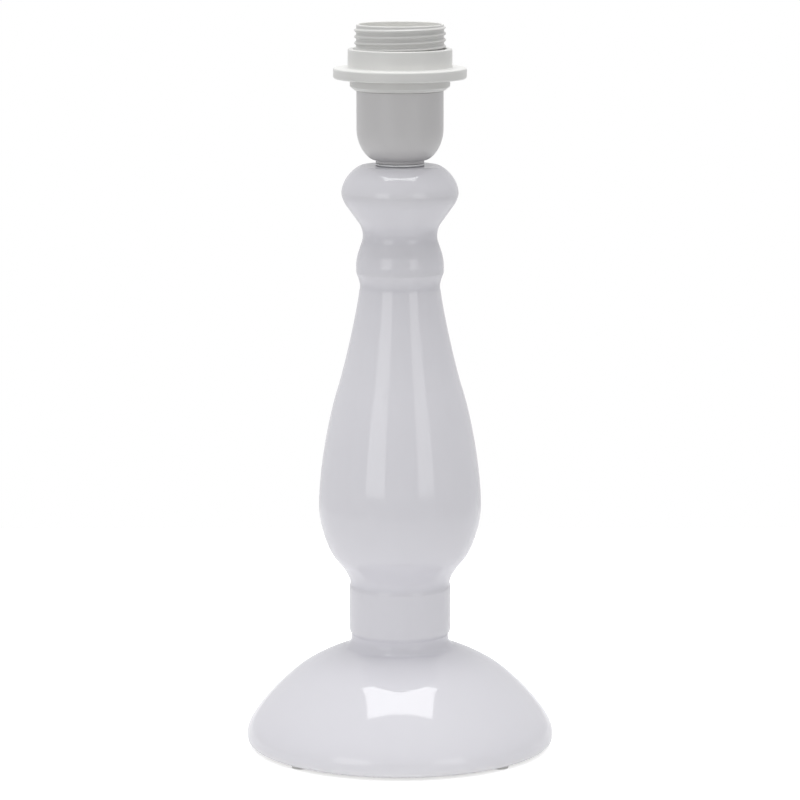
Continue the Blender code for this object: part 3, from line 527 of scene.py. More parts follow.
GLAZE_WHITE = (0.775, 0.765, 0.812)
GLAZE_PALE = (0.800, 0.792, 0.832)
GLAZE_POOLED = (0.700, 0.692, 0.752)
GLAZE_THIN = (0.820, 0.812, 0.826)
GLAZE_ROUGHNESS = 0.07
GLAZE_COAT = 0.5
GLAZE_COAT_INDEX = 1.79
BISQUE_PIT = (0.48, 0.46, 0.43)
# The cap's darker and the ring's lighter tones of the one white plastic are partly the mouldings'
# own tones, partly painted shade on the cap under the ring's flange and painted light on the ring
CAP_PLASTIC = (0.648, 0.638, 0.640)
SKIRT_PLASTIC = (0.672, 0.669, 0.654)
# Painted light: the skirt's mouth rim, bore and ledge take a much lighter tone of its own plastic,
# to lift the shade inside the mouth
MOUTH_PAINTED_LIGHT_PLASTIC = (0.850, 0.848, 0.826)
RING_PLASTIC = (0.765, 0.763, 0.745)
PLASTIC_INDEX = 1.48
PALER = 1.05
INSULATOR_PALE = (0.80, 0.79, 0.75)
INSULATOR_SPECKLE = (0.70, 0.68, 0.63)
RUBBER = (0.63, 0.63, 0.61)
RUBBER_DARK = (0.60, 0.60, 0.585)
RUBBER_PALE = (0.67, 0.67, 0.65)
FELT = (0.80, 0.80, 0.78)
FELT_DARK = (0.76, 0.76, 0.74)
FELT_PALE = (0.88, 0.88, 0.86)
TURNED_GRAIN = (1, 1, 0.2)
ROLLED_GRAIN = (6, 1, 1)


def glaze_look():
    """Clear gloss glaze over a white body: thin on edges, thicker and cooler in hollows. The gloss
    is a half coat of a higher index: the highlights of a full one, but calmer at grazing angles."""
    look = Look("glaze", GLAZE_WHITE, GLAZE_ROUGHNESS, Specular_IOR_Level=0.0,
                Coat_Weight=GLAZE_COAT, Coat_IOR=GLAZE_COAT_INDEX, Coat_Roughness=GLAZE_ROUGHNESS)
    tone = look.mixed(look.noise(46, 3), GLAZE_WHITE, GLAZE_PALE)
    pool = look.attribute("pool")
    tone = look.mixed(look.ranged(pool, 0.05, 1.0, 0.0, 0.8), tone, GLAZE_POOLED)
    tone = look.mixed(look.ranged(pool, -0.15, -1.0, 0.0, 0.6), tone, GLAZE_THIN)
    look.colour(tone)
    look.rough(look.ranged(look.noise(9, 3), 0.3, 0.7, 0.045, 0.095))
    look.bump(look.noise(6.5, 1), 0.012).bump(look.noise(0.9, 1), 0.0016)
    look.tree.links.new(look.normal, look.shader.inputs["Coat Normal"])
    return look.material


def bisque_look(name, colour, rubbed):
    """Unglazed ceramic, dry and slightly grainy."""
    look = Look(name, colour, 0.85)
    tone = look.mixed(look.ranged(look.noise(8, 5), 0.35, 0.7, 0.0, 1.0), colour, rubbed)
    look.colour(look.mixed(look.ranged(look.cells(0.9), 0.0, 0.16, 0.35, 0.0), tone, BISQUE_PIT))
    look.rough(look.ranged(look.noise(3), 0.3, 0.7, 0.75, 0.92))
    return look.bump(look.noise(0.5, 4), 0.06).bump(look.noise(5, 2), 0.12).material


def plastic_look(name, colour):
    """Satin moulded thermoplastic with a fine spark-eroded skin."""
    look = Look(name, colour, 0.4, IOR=PLASTIC_INDEX)
    look.colour(look.mixed(look.noise(11, 4), colour, tuple(c * PALER for c in colour)))
    look.rough(look.ranged(look.noise(2.5, 4), 0.3, 0.7, 0.34, 0.46))
    return look.bump(look.noise(0.16, 2), 0.006).bump(look.noise(4, 1), 0.01).material


def insulator_look():
    """Matt pressed thermoset with a faint speckle."""
    look = Look("insulator", INSULATOR_PALE, 0.5)
    look.colour(look.mixed(look.ranged(look.noise(0.6, 4), 0.35, 0.75, 0.0, 1.0),
                           INSULATOR_PALE, INSULATOR_SPECKLE))
    look.rough(look.ranged(look.noise(1.5), 0.3, 0.7, 0.42, 0.6))
    return look.bump(look.noise(0.3, 3), 0.015).material


def metal_look(name, colour, tarnish, rough_low, rough_high, grain):
    """Plated or plain metal with soft stains and a fine grain along its turning."""
    look = Look(name, colour, rough_low, Metallic=1.0)
    look.colour(look.mixed(look.ranged(look.noise(5, 5), 0.4, 0.8, 0.0, 1.0), colour, tarnish))
    streaks = look.noise(0.5, 3, stretch=grain)
    look.rough(look.ranged(streaks, 0.3, 0.7, rough_low, rough_high))
    return look.bump(streaks, 0.006).material


def rubber_look():
    """Soft matt rubber."""
    look = Look("rubber", RUBBER, 0.7)
    look.colour(look.mixed(look.noise(2.5, 4), RUBBER_DARK, RUBBER_PALE))
    look.rough(look.ranged(look.noise(1.2), 0.3, 0.7, 0.62, 0.8))
    return look.bump(look.noise(0.35, 3), 0.02).material


def felt_look():
    """Pressed white felt with mixed fibres."""
    look = Look("felt", FELT, 0.95, Sheen_Weight=0.3)
    fibres = look.noise(0.35, 5, stretch=(3, 1, 1), distortion=2.0)
    look.colour(look.mixed(look.ranged(fibres, 0.35, 0.65, 0.0, 1.0), FELT_DARK, FELT_PALE))
    return look.bump(fibres, 0.12).bump(look.noise(0.8, 3), 0.1).material


glaze = glaze_look()
bisque = bisque_look("bisque", (0.74, 0.72, 0.68), (0.68, 0.66, 0.61))
wiped_foot = bisque_look("wiped_foot", (0.70, 0.68, 0.65), (0.58, 0.565, 0.54))
cap_plastic = plastic_look("cap_plastic", CAP_PLASTIC)
skirt_plastic = plastic_look("skirt_plastic", SKIRT_PLASTIC)
mouth_painted_light_plastic = plastic_look("mouth_painted_light_plastic", MOUTH_PAINTED_LIGHT_PLASTIC)
ring_plastic = plastic_look("ring_plastic", RING_PLASTIC)
insulator = insulator_look()
zinc = metal_look("zinc", (0.66, 0.67, 0.69), (0.56, 0.59, 0.62), 0.26, 0.42, TURNED_GRAIN)
dull_zinc = metal_look("dull_zinc", (0.66, 0.665, 0.67), (0.58, 0.585, 0.59), 0.55, 0.70,
                       TURNED_GRAIN)
brass = metal_look("brass_sheet", (0.78, 0.62, 0.32), (0.66, 0.49, 0.24), 0.24, 0.40, ROLLED_GRAIN)
nickel = metal_look("nickel_sheet", (0.72, 0.70, 0.66), (0.62, 0.60, 0.55), 0.16, 0.32,
                    TURNED_GRAIN)
rubber = rubber_look()
felt = felt_look()


def dressed(piece, body, slot, *nodes):
    """Give a piece its body and hide the CAD nodes that it stands for. The slot is not used."""
    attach(piece, body)
    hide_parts(*nodes)


# Ceramic body

OUTLET_POINT = (0, 62.09, 17.33)
OUTLET_WAY = (0, 0.7813, 0.6241)
OUTLET_CUT = WALL * 4
BUSH_BORE = 3.7
BUSH_NOSE, BUSH_NECK, BUSH_FLANGE = 4.7, 5.0, 6.5
BUSH_END, BUSH_NOSE_TOP, BUSH_SEAT, BUSH_TOP = -6.5, -5.9, -0.2, 1.3


def waved(mesh):
    """Sink the cast surface a little, unevenly, as under a glaze."""
    for vert in mesh.vertices:
        x, y, z = (c / MM / WAVE_LENGTH for c in vert.co)
        depth = WAVE_DEPTH * (noise.noise(Vector((x, y, z))) - 1) / 2
        radius = math.hypot(vert.co.x, vert.co.y)
        scale = 1 + depth * MM / radius
        vert.co.x *= scale
        vert.co.y *= scale


def make_body():
    """Slip-cast body: glazed outside, dry inside, with a wiped foot."""
    outer, inner = glazed(outer_outline()), inner_outline()
    items = outer + inner[1:]
    slots = [0] * len(outer) + [1] * (len(inner) - 1)
    slots[0] = 2
    piece = lathe("glazed_body", items, BODY_SEGMENTS, [glaze, bisque, wiped_foot], slots,
                  attribute="pool")
    waved(piece.data)
    hole = rod("outlet_hole", CLEAR_BORE, OUTLET_CUT, along(OUTLET_POINT, OUTLET_WAY),
               TUBE_SEGMENTS)
    hole.data.materials.append(bisque)
    dressed(combined(piece, hole), "lamp", "white_glaze", "ceramic_body")


def make_bush():
    """Flanged bush in the rear outlet."""
    outline = rounded([(BUSH_BORE, BUSH_END, 0.3), (BUSH_NOSE, BUSH_END, 0.3),
                       (BUSH_NECK, BUSH_NOSE_TOP, 0.3), (BUSH_NECK, BUSH_SEAT),
                       (BUSH_FLANGE, BUSH_SEAT, 0.2), (BUSH_FLANGE, BUSH_TOP, 0.45),
                       (BUSH_BORE, BUSH_TOP, 0.5)])
    piece = lathe("outlet_bush", outline, TUBE_SEGMENTS, [rubber])
    moved(piece, along(OUTLET_POINT, OUTLET_WAY))
    dressed(piece, "lamp", "white_rubber", "cable_bush")


def make_pads():
    """Felt pads with soft edges."""
    for number in range(1, 5):
        low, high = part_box(f"foot_pad_{number}")
        centre = (low + high) / 2
        radius, top = (high.x - low.x) / 2 / MM, (high.z - low.z) / MM
        outline = rounded([(0, 0), (radius, 0, 0.18), (radius, top, 0.3), (0, top)], closed=False)
        piece = lathe(f"felt_pad_{number}", outline, SMALL_SEGMENTS, [felt], closed=False)
        moved(piece, Matrix.Translation((centre.x, centre.y, low.z)))
        dressed(piece, "lamp", "white_felt", f"foot_pad_{number}")


make_body()
make_bush()
make_pads()

# Threaded tube and its clamp

V_THREAD = [(0.0, 1.0), (0.12, 1.0), (0.26, 0.55), (0.40, 0.06), (0.5, 0.0), (0.62, 0.0),
            (0.76, 0.5), (0.90, 0.95)]
TUBE_PITCH = 1.0
TUBE_ROOT = 4.42
TUBE_THREAD_DEPTH = 0.56
TUBE_THREAD_FADES = (0.5, 0.5)
TUBE_BORE = 3.7
TUBE_CHAMFER = 0.6
TUBE_LOW, TUBE_HIGH = (corner.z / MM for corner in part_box("threaded_tube"))
NUT_LOW, NUT_HIGH = (corner.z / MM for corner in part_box("hex_nut"))
NUT_ACROSS = 14.0
NUT_THREAD_GAP = 0.12
NUT_CHAMFER, NUT_CHAMFER_RISE = 1.0, 0.65
NUT_OVERRUN, NUT_CUT_OVERRUN = 0.05, 1
LOWER_THREAD_TOP = NUT_HIGH + 4.0
UPPER_THREAD_FOOT = 257.5
CLAMP_RADIUS, CLAMP_SHEET = 21.0, 1.5
SPIGOT_OUTSIDE, SPIGOT_INSIDE = 17.0, 15.0
SPRING_RADIUS, SPRING_DISH = 9.2, 0.5
NECK_WASHER_FILL = 0.15
GUARD_BORE = 3.3


def tube_thread(low, high, gap=0.0):
    """The tube's own thread between two levels, or its mate at a gap round it."""
    return Thread(low, high, TUBE_ROOT + gap, TUBE_THREAD_DEPTH, TUBE_PITCH, TUBE_LOW, V_THREAD,
                  TUBE_THREAD_FADES)


def make_tube():
    """Tube with cut threads at both ends."""
    crest = TUBE_ROOT + TUBE_THREAD_DEPTH
    items = [(TUBE_BORE, TUBE_LOW), (TUBE_ROOT, TUBE_LOW), tube_thread(TUBE_LOW, LOWER_THREAD_TOP),
             (TUBE_ROOT, LOWER_THREAD_TOP), (crest, LOWER_THREAD_TOP + TUBE_CHAMFER),
             (crest, UPPER_THREAD_FOOT - TUBE_CHAMFER), (TUBE_ROOT, UPPER_THREAD_FOOT),
             tube_thread(UPPER_THREAD_FOOT, TUBE_HIGH), (TUBE_ROOT, TUBE_HIGH),
             (TUBE_BORE, TUBE_HIGH)]
    piece = lathe("thread_tube", items, TUBE_SEGMENTS, [zinc])
    dressed(piece, "lamp", "zinc_plated_steel", "threaded_tube")


def make_nut():
    """Hexagon nut with chamfered corners and its own thread."""
    corner = NUT_ACROSS / 2 / math.cos(math.pi / 6)
    bore, face, outside = TUBE_ROOT + NUT_THREAD_GAP, corner - NUT_CHAMFER, corner + NUT_OVERRUN
    items = [(bore, NUT_LOW), (face, NUT_LOW), (outside, NUT_LOW + NUT_CHAMFER_RISE),
             (outside, NUT_HIGH - NUT_CHAMFER_RISE), (face, NUT_HIGH), (bore, NUT_HIGH),
             tube_thread(NUT_LOW, NUT_HIGH, NUT_THREAD_GAP)]
    turned = lathe("chamfered_ring", items, NUT_SEGMENTS, [zinc])
    bm = bmesh.new()
    bmesh.ops.create_cone(bm, cap_ends=True, segments=6, radius1=corner * MM, radius2=corner * MM,
                          depth=(NUT_HIGH - NUT_LOW + NUT_CUT_OVERRUN) * MM,
                          matrix=Matrix.Translation((0, 0, (NUT_HIGH + NUT_LOW) / 2 * MM)))
    mesh = bpy.data.meshes.new("hexagon")
    bm.to_mesh(mesh)
    bm.free()
    piece = combined(turned, finished("hexagon", mesh, [zinc]), "INTERSECT")
    piece.name = "clamp_nut"
    dressed(piece, "lamp", "zinc_plated_steel", "hex_nut")


def make_washers():
    """Clamp washer with its spigot, dished spring washer and neck washer."""
    bottom, top = (corner.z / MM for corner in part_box("clamp_washer"))
    face = bottom + CLAMP_SHEET
    outline = rounded([(CLEAR_BORE, bottom, 0.15), (CLAMP_RADIUS, bottom, 0.5),
                       (CLAMP_RADIUS, face, 0.2), (SPIGOT_OUTSIDE, face, 0.1),
                       (SPIGOT_OUTSIDE, top, 0.3), (SPIGOT_INSIDE, top, 0.3),
                       (SPIGOT_INSIDE, face, 0.2), (CLEAR_BORE, face, 0.15)])
    piece = lathe("spigot_washer", outline, HOLDER_SEGMENTS, [zinc])
    dressed(piece, "lamp", "zinc_plated_steel", "clamp_washer")
    bottom, top = (corner.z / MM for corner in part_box("spring_washer"))
    outline = rounded([(CLEAR_BORE, bottom, 0.1), (SPRING_RADIUS, bottom + SPRING_DISH, 0.15),
                       (SPRING_RADIUS, top, 0.15), (CLEAR_BORE, top - SPRING_DISH, 0.1)])
    piece = lathe("dished_washer", outline, TUBE_SEGMENTS, [zinc])
    dressed(piece, "lamp", "zinc_plated_steel", "spring_washer")
    low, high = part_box("neck_washer")
    bottom, top = low.z / MM - NECK_WASHER_FILL, high.z / MM + NECK_WASHER_FILL
    outside = high.x / MM
    outline = rounded([(CLEAR_BORE, bottom, 0.1), (outside, bottom, 0.2), (outside, top, 0.2),
                       (CLEAR_BORE, top, 0.1)])
    piece = lathe("seat_washer", outline, HOLDER_SEGMENTS, [dull_zinc])
    dressed(piece, "lamp", "zinc_plated_steel", "neck_washer")


def make_tube_guard():
    """Plastic guard that keeps the tube's cut end off the cable."""
    low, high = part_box("tube_end_cap")
    bottom, top, outside = low.z / MM, high.z / MM, high.x / MM
    step = TUBE_LOW - CLEARANCE
    outline = rounded([(GUARD_BORE, bottom, 0.5), (outside, bottom, 0.6), (outside, top, 0.3),
                       (CLEAR_BORE, top, 0.2), (CLEAR_BORE, step), (GUARD_BORE, step, 0.3)])
    piece = lathe("tube_guard", outline, TUBE_SEGMENTS, [cap_plastic])
    dressed(piece, "lamp", "white_plastic", "tube_end_cap")


make_tube()
make_nut()
make_washers()
make_tube_guard()

# Lampholder

HOLDER_LOW, CAP_TOP = (corner.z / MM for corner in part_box("lampholder_cap"))
SKIRT_LOW, MOUTH = (corner.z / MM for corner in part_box("lampholder_skirt"))
RING_LOW, RING_HIGH = (corner.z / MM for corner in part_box("shade_ring"))
COLLAR_RISE, CAP_SIDE_RISE, CAP_FLOOR_RISE = 1.5, 13.2, 5.5
CAP_JOINT = 0.15
RING_FLANGE_RISE = 4.6
CAP_DOME = HOLDER_LOW + COLLAR_RISE
CAP_SIDE = CAP_DOME + CAP_SIDE_RISE
CAP_SHOULDER = SKIRT_LOW - CAP_JOINT
CAP_FLOOR = CAP_DOME + CAP_FLOOR_RISE
LIP = RING_LOW - CLEARANCE
RING_FLANGE = RING_LOW + RING_FLANGE_RISE
GRUB_WAY = (0, 1, 0)
GRUB_PLACE = (0, 8.3, 261.475)
GRUB_HOLE_PLACE = (0, 14.4, 261.475)
GRUB_HOLE_RADIUS, GRUB_HOLE_LENGTH = 1.8, 18.8
GRUB_SLOT = (0.45, 4.0, 2.4)

SHADE_THREAD = [(0.0, 1.0), (0.07, 0.97), (0.14, 0.8), (0.22, 0.42), (0.30, 0.12), (0.38, 0.02),
                (0.5, 0.0), (0.62, 0.0), (0.70, 0.12), (0.78, 0.42), (0.86, 0.8), (0.93, 0.97)]
SHADE_PITCH = 2.72
SHADE_CREST_LEVEL = 312.45
THREAD_CREST = 19.75
THREAD_DEPTH = 0.85


def make_cap():
    """Moulded cap: collar, dome and side, with the boss and the rim inside."""
    collar, dome, side, dome_rise = 10.5, 12.0, 18.8, 3.0
    bore, floor, boss, boss_top = 16.8, 12.0, 8.0, CAP_FLOOR + 3
    rim, rim_bore, rim_foot, bore_top = 17.4, 15.7, CAP_SHOULDER - 2, CAP_SHOULDER - 3.1
    bore_low = CAP_FLOOR + 6.5
    outline = rounded([(CLEAR_BORE, HOLDER_LOW, 0.2), (collar, HOLDER_LOW, 0.3),
                       (collar, CAP_DOME, 0.25), (dome, CAP_DOME, 0.3)], closed=False)
    outline += sweep((dome, CAP_DOME), (side, CAP_DOME + dome_rise), (side, CAP_SIDE))
    outline += rounded([(side, CAP_SIDE), (side, CAP_SHOULDER, 0.3), (rim, CAP_SHOULDER, 0.15),
                        (rim, CAP_TOP, 0.3), (rim_bore, CAP_TOP, 0.3), (rim_bore, rim_foot, 0.3),
                        (bore, bore_top, 0.3), (bore, bore_low)], closed=False)
    outline += sweep((bore, bore_low), (bore, CAP_FLOOR), (floor, CAP_FLOOR))
    outline += rounded([(floor, CAP_FLOOR), (boss, CAP_FLOOR, 0.6), (boss, boss_top, 0.4),
                        (CLEAR_BORE, boss_top, 0.3)], closed=False)
    piece = lathe("holder_cap", without_repeats(outline), HOLDER_SEGMENTS, [cap_plastic])
    hole = rod("grub_hole", GRUB_HOLE_RADIUS, GRUB_HOLE_LENGTH, along(GRUB_HOLE_PLACE, GRUB_WAY))
    dressed(combined(piece, hole), "lamp", "white_plastic", "lampholder_cap")


def make_grub():
    """Threaded grub screw with a slot."""
    root, depth, pitch = 1.22, 0.26, 0.6
    point, low, high, head = -3.0, -2.9, 2.6, 3.0
    point_chamfer, head_chamfer = 0.2, 0.25
    thread = Thread(low, high, root, depth, pitch, 0, V_THREAD, (0.3, 0.3))
    items = [(0, point), (root - point_chamfer, point), (root, low), thread, (root, high),
             (root - head_chamfer, head), (0, head)]
    piece = lathe("slotted_grub", items, SMALL_SEGMENTS, [zinc], closed=False)
    combined(piece, block("grub_slot", GRUB_SLOT, (0, 0, head), [zinc]))
    moved(piece, along(GRUB_PLACE, GRUB_WAY))
    dressed(piece, "lamp", "zinc_plated_steel", "grub_screw")


def make_skirt():
    """Skirt with its chamfered lip and the right-hand thread for the shade ring."""
    root = THREAD_CREST - THREAD_DEPTH
    thread_low, thread_high = LIP + 0.2, MOUTH - 0.55
    foot, lip, chamfer = 19.6, 21.6, SKIRT_LOW + 1.6
    bore, ledge_bore, mouth_bore = 17.7, 15.7, 17.95
    ledge = CAP_TOP + 2.4
    ledge_top = ledge + 1.8
    lower = rounded([(bore, SKIRT_LOW, 0.2), (foot, SKIRT_LOW, 0.2), (lip, chamfer, 0.4),
                     (lip, LIP, 0.3), (root, LIP, 0.1), (root, thread_low)], closed=False)
    upper = rounded([(root, thread_high), (root, MOUTH, 0.4), (mouth_bore, MOUTH, 0.35),
                     (mouth_bore, ledge_top, 0.3), (ledge_bore, ledge_top, 0.2),
                     (ledge_bore, ledge, 0.1), (bore, ledge, 0.1), (bore, SKIRT_LOW)],
                    closed=False)
    thread = Thread(thread_low, thread_high, root, THREAD_DEPTH, SHADE_PITCH, SHADE_CREST_LEVEL,
                    SHADE_THREAD, (2.2, 1.1))
    # The mouth rim, bore and ledge take the lighter tone: painted light inside the skirt's shaded
    # mouth
    slots = [0] * (len(lower) + 1) + [1] * (len(upper) - 1)
    piece = lathe("holder_skirt", [*lower, thread, *upper[:-1]], HOLDER_SEGMENTS,
                  [skirt_plastic, mouth_painted_light_plastic], slots)
    dressed(piece, "lamp", "white_plastic", "lampholder_skirt")


def make_ring():
    """Shade ring: broad rounded flange, plain collar, threaded bore."""
    root, depth, flange, collar, draft = 20.05, 0.6, 28.8, 22.5, 0.05
    chamfer, chamfer_rise = 0.5, 0.7
    low, high = RING_LOW + 0.6, RING_HIGH - 0.6
    outer = rounded([(root, RING_LOW, 0.2), (flange - chamfer, RING_LOW, 0.5),
                     (flange, RING_LOW + chamfer_rise, 0.4), (flange, RING_FLANGE, 0.8),
                     (collar + draft, RING_FLANGE, 0.6), (collar, RING_HIGH, 0.55),
                     (root, RING_HIGH, 0.3), (root, high)], closed=False)
    thread = Thread(low, high, root, depth, SHADE_PITCH, SHADE_CREST_LEVEL, SHADE_THREAD,
                    (0.8, 0.8))
    items = [*outer, thread, (root, low)]
    piece = lathe("clamp_ring", items, HOLDER_SEGMENTS, [ring_plastic])
    dressed(piece, "shade_ring", "white_plastic", "shade_ring")


make_cap()
make_grub()
make_skirt()
make_ring()

# Contacts

CARRIER_LOW, CARRIER_HIGH = (corner.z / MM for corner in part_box("contact_carrier"))
SHELL_LOW, SHELL_HIGH = (corner.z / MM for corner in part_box("screw_shell"))
CARRIER_FLOOR = SHELL_LOW - CLEARANCE
CONTACT_SLOT = (2.1, 6.6, 6.4)
CONTACT_SLOT_PLACE = 6.55
RIVET_PLACES = ((-11.65, 0), (0, 11.65))
RIVET_HOLE = 1.2
RIVET_SHANK, RIVET_HEAD, RIVET_HEAD_RISE = 0.9, 1.4, 0.5
WAVE_STEPS = 12
SHELL_WAVE = [(k / WAVE_STEPS, (1 + math.cos(2 * math.pi * k / WAVE_STEPS)) / 2)
              for k in range(WAVE_STEPS)]
SHELL_PITCH = 3.629
SHELL_DEPTH = 0.95
SHELL_SHEET = 0.42
SHELL_FLAT_SHEET = 0.45
SHELL_CREST = 13.8
SHELL_CREST_LEVEL = 306
SHELL_OPENING = 9.95
SHELL_LIP = 14.8
SHELL_FLARE = 0.1
SHELL_HOLE_LENGTH = 2.0
TONGUE_BEND = (6.05, 290.65)
TONGUE_CREST = (-0.6, 294.15)
TONGUE_TIP = (-4.0, 293.25)
TONGUE_FILLETS = (0.9, 2.6)
TONGUE_WIDTH = 6.0
TONGUE_SHEET = 0.5
TONGUE_SAMPLE = 0.25
TONGUE_TIP_SHARE = 0.18
TONGUE_SECTION = [(-0.5, -0.5, 0.16), (0.5, -0.5, 0.16), (0.5, 0.5, 0.16), (-0.5, 0.5, 0.16)]


def make_carrier():
    """Cup of insulator with its flange, the slot for the contact and the rivet holes."""
    cup, bore, rim = 15.4, 14.1, 17.4
    flange = CAP_TOP + CLEARANCE
    flange_top = flange + 1.8
    outline = rounded([(0, CARRIER_LOW), (cup, CARRIER_LOW, 0.6), (cup, flange, 0.2),
                       (rim, flange, 0.3), (rim, flange_top, 0.3), (cup, flange_top, 0.3),
                       (cup, CARRIER_HIGH, 0.4), (bore, CARRIER_HIGH, 0.3),
                       (bore, CARRIER_FLOOR, 0.3), (0, CARRIER_FLOOR)], closed=False)
    piece = lathe("insulator_cup", outline, HOLDER_SEGMENTS, [insulator], closed=False)
    middle = (CARRIER_LOW + CARRIER_FLOOR) / 2
    slot = block("contact_slot", CONTACT_SLOT, (CONTACT_SLOT_PLACE, 0, middle), [insulator])
    combined(piece, slot)
    for place in RIVET_PLACES:
        way = along((*place, middle), (0, 0, 1))
        combined(piece, rod("rivet_hole", RIVET_HOLE, CONTACT_SLOT[2], way))
    dressed(piece, "lamp", "insulator_plastic", "contact_carrier")


def make_shell():
    """Screw shell rolled from sheet: the lamp cap's thread as a wave, a flanged lip and a floor."""
    outer_root = SHELL_CREST - SHELL_DEPTH
    inner_root = outer_root - SHELL_SHEET
    low, high = SHELL_LOW + 2.2, SHELL_HIGH - 0.9
    outside, inside = (Thread(low, high, root, SHELL_DEPTH, SHELL_PITCH, SHELL_CREST_LEVEL,
                              SHELL_WAVE, (1.6, 1.2)) for root in (outer_root, inner_root))
    under_lip, over_floor = SHELL_HIGH - SHELL_FLAT_SHEET, SHELL_LOW + SHELL_FLAT_SHEET
    lower = rounded([(SHELL_OPENING, SHELL_LOW, 0.15), (outer_root, SHELL_LOW, 0.8),
                     (outer_root, low)], closed=False)
    upper = rounded([(outer_root, high), (outer_root + SHELL_FLARE, under_lip, 0.3),
                     (SHELL_LIP, under_lip, 0.15), (SHELL_LIP, SHELL_HIGH, 0.15),
                     (inner_root + SHELL_FLARE, SHELL_HIGH, 0.7), (inner_root, high)],
                    closed=False)
    floor = rounded([(inner_root, low), (inner_root, over_floor, 0.4),
                     (SHELL_OPENING, over_floor, 0.15), (SHELL_OPENING, SHELL_LOW)], closed=False)
    items = [*lower, outside, *upper, inside, *floor[:-1]]
    piece = lathe("rolled_shell", items, HOLDER_SEGMENTS, [nickel])
    for place in RIVET_PLACES:
        way = along((*place, SHELL_LOW), (0, 0, 1))
        combined(piece, rod("shell_hole", RIVET_HOLE, SHELL_HOLE_LENGTH, way))
    dressed(piece, "lamp", "nickel_plate", "screw_shell")


def make_rivets():
    """Round-headed rivets through the shell's floor."""
    for number, (x, y) in enumerate(RIVET_PLACES, 1):
        low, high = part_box(f"shell_rivet_{number}")
        bottom, top = low.z / MM, high.z / MM
        seat = top - RIVET_HEAD_RISE
        outline = [(0, bottom), (RIVET_SHANK, bottom), (RIVET_SHANK, seat), (RIVET_HEAD, seat)]
        outline += sweep((RIVET_HEAD, seat), (RIVET_HEAD, top), (0, top), RIVET_STEPS)[1:]
        piece = lathe(f"round_rivet_{number}", outline, SMALL_SEGMENTS, [brass], closed=False)
        moved(piece, Matrix.Translation((x * MM, y * MM, 0)))
        dressed(piece, "lamp", "brass", f"shell_rivet_{number}")


def make_tongue():
    """Centre contact: one strip with rounded bends and a rounded tip."""
    bend, crest = TONGUE_FILLETS
    line = rounded([(TONGUE_BEND[0], CARRIER_LOW), (*TONGUE_BEND, bend), (*TONGUE_CREST, crest),
                    TONGUE_TIP], closed=False)
    line = [Vector(p) for p in resampled(line, TONGUE_SAMPLE)]
    total = sum((b - a).length for a, b in zip(line, line[1:]))
    bm = bmesh.new()
    rows, gone = [], 0.0
    section = rounded(TONGUE_SECTION)
    half = TONGUE_WIDTH / 2
    for index, point in enumerate(line):
        if index:
            gone += (point - line[index - 1]).length
        way = (line[min(index + 1, len(line) - 1)] - line[max(index - 1, 0)]).normalized()
        left = total - gone
        round_end = math.sqrt(max(0.0, 1 - max(0.0, 1 - left / half) ** 2))
        width = TONGUE_WIDTH * max(TONGUE_TIP_SHARE, round_end)
        side = Vector((-way.y, way.x))
        row = []
        for across, through in section:
            spot = point + side * through * TONGUE_SHEET
            beside = math.copysign(min(abs(across) * width, width / 2), across)
            row.append(bm.verts.new((spot.x * MM, beside * MM, spot.y * MM)))
        rows.append(row)
    count = len(section)
    for lower, upper in zip(rows, rows[1:]):
        for index in range(count):
            follows = (index + 1) % count
            bm.faces.new((lower[index], lower[follows], upper[follows], upper[index]))
    bm.faces.new(rows[0])
    bm.faces.new(rows[-1])
    mesh = bpy.data.meshes.new("contact_tongue")
    bm.to_mesh(mesh)
    bm.free()
    dressed(finished("contact_tongue", mesh, [brass]), "centre_contact", "brass", "centre_contact")


make_carrier()
make_shell()
make_rivets()
make_tongue()

for pole in ("live", "neutral"):
    for part, material in (("terminal", brass), ("screw", zinc)):
        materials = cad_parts[f"{pole}_{part}"].data.materials
        materials.clear()
        materials.append(material)

# Floor, light and camera

FLOOR_HALF = 0.48
FLOOR_LEVEL = -0.00005
FLOOR_COLOUR = 0.95
FLOOR_LIFT = 0.62
AMBIENT_BASE = 0.03
AMBIENT_TOP = 0.575
AMBIENT_SIDES = 0.36
AMBIENT_LEAN = 0.25
AMBIENT_BELOW = 0.10
AMBIENT_TINT = (0.985, 0.99, 1.0)

# Place, the point that it faces, width and height in metres, and how bright its face is
SOFTBOXES = {
    "overhead": ((0, -0.03, 1.30), (0, -0.03, 0), 0.88, 0.62, 4.6),
    "front_left": ((-1.05, -1.47, 0.50), (0, 0, 0.50), 0.90, 0.88, 1.62),
    "front_right": ((1.11, -1.42, 0.50), (0, 0, 0.50), 0.74, 0.88, 1.42),
}

CAMERA_PLACE = (0, -1.6351, 0.4243)
CAMERA_PITCH = math.radians(9.4)
CAMERA_LENS = 171.0
CAMERA_SENSOR = 36.0


def joined(tree, operation, one, two):
    """Math node on two values, each a socket or a number."""
    node = tree.nodes.new("ShaderNodeMath")
    node.operation = operation
    for socket, value in zip(node.inputs, (one, two)):
        if isinstance(value, (int, float)):
            socket.default_value = value
        else:
            tree.links.new(value, socket)
    return node.outputs[0]


def seen_directly(tree):
    """1 for camera, glossy and transmitted rays, so that all of them show the white background."""
    path = tree.nodes.new("ShaderNodeLightPath")
    glossy = joined(tree, "MAXIMUM", path.outputs["Is Camera Ray"], path.outputs["Is Glossy Ray"])
    return joined(tree, "MAXIMUM", glossy, path.outputs["Is Transmission Ray"])


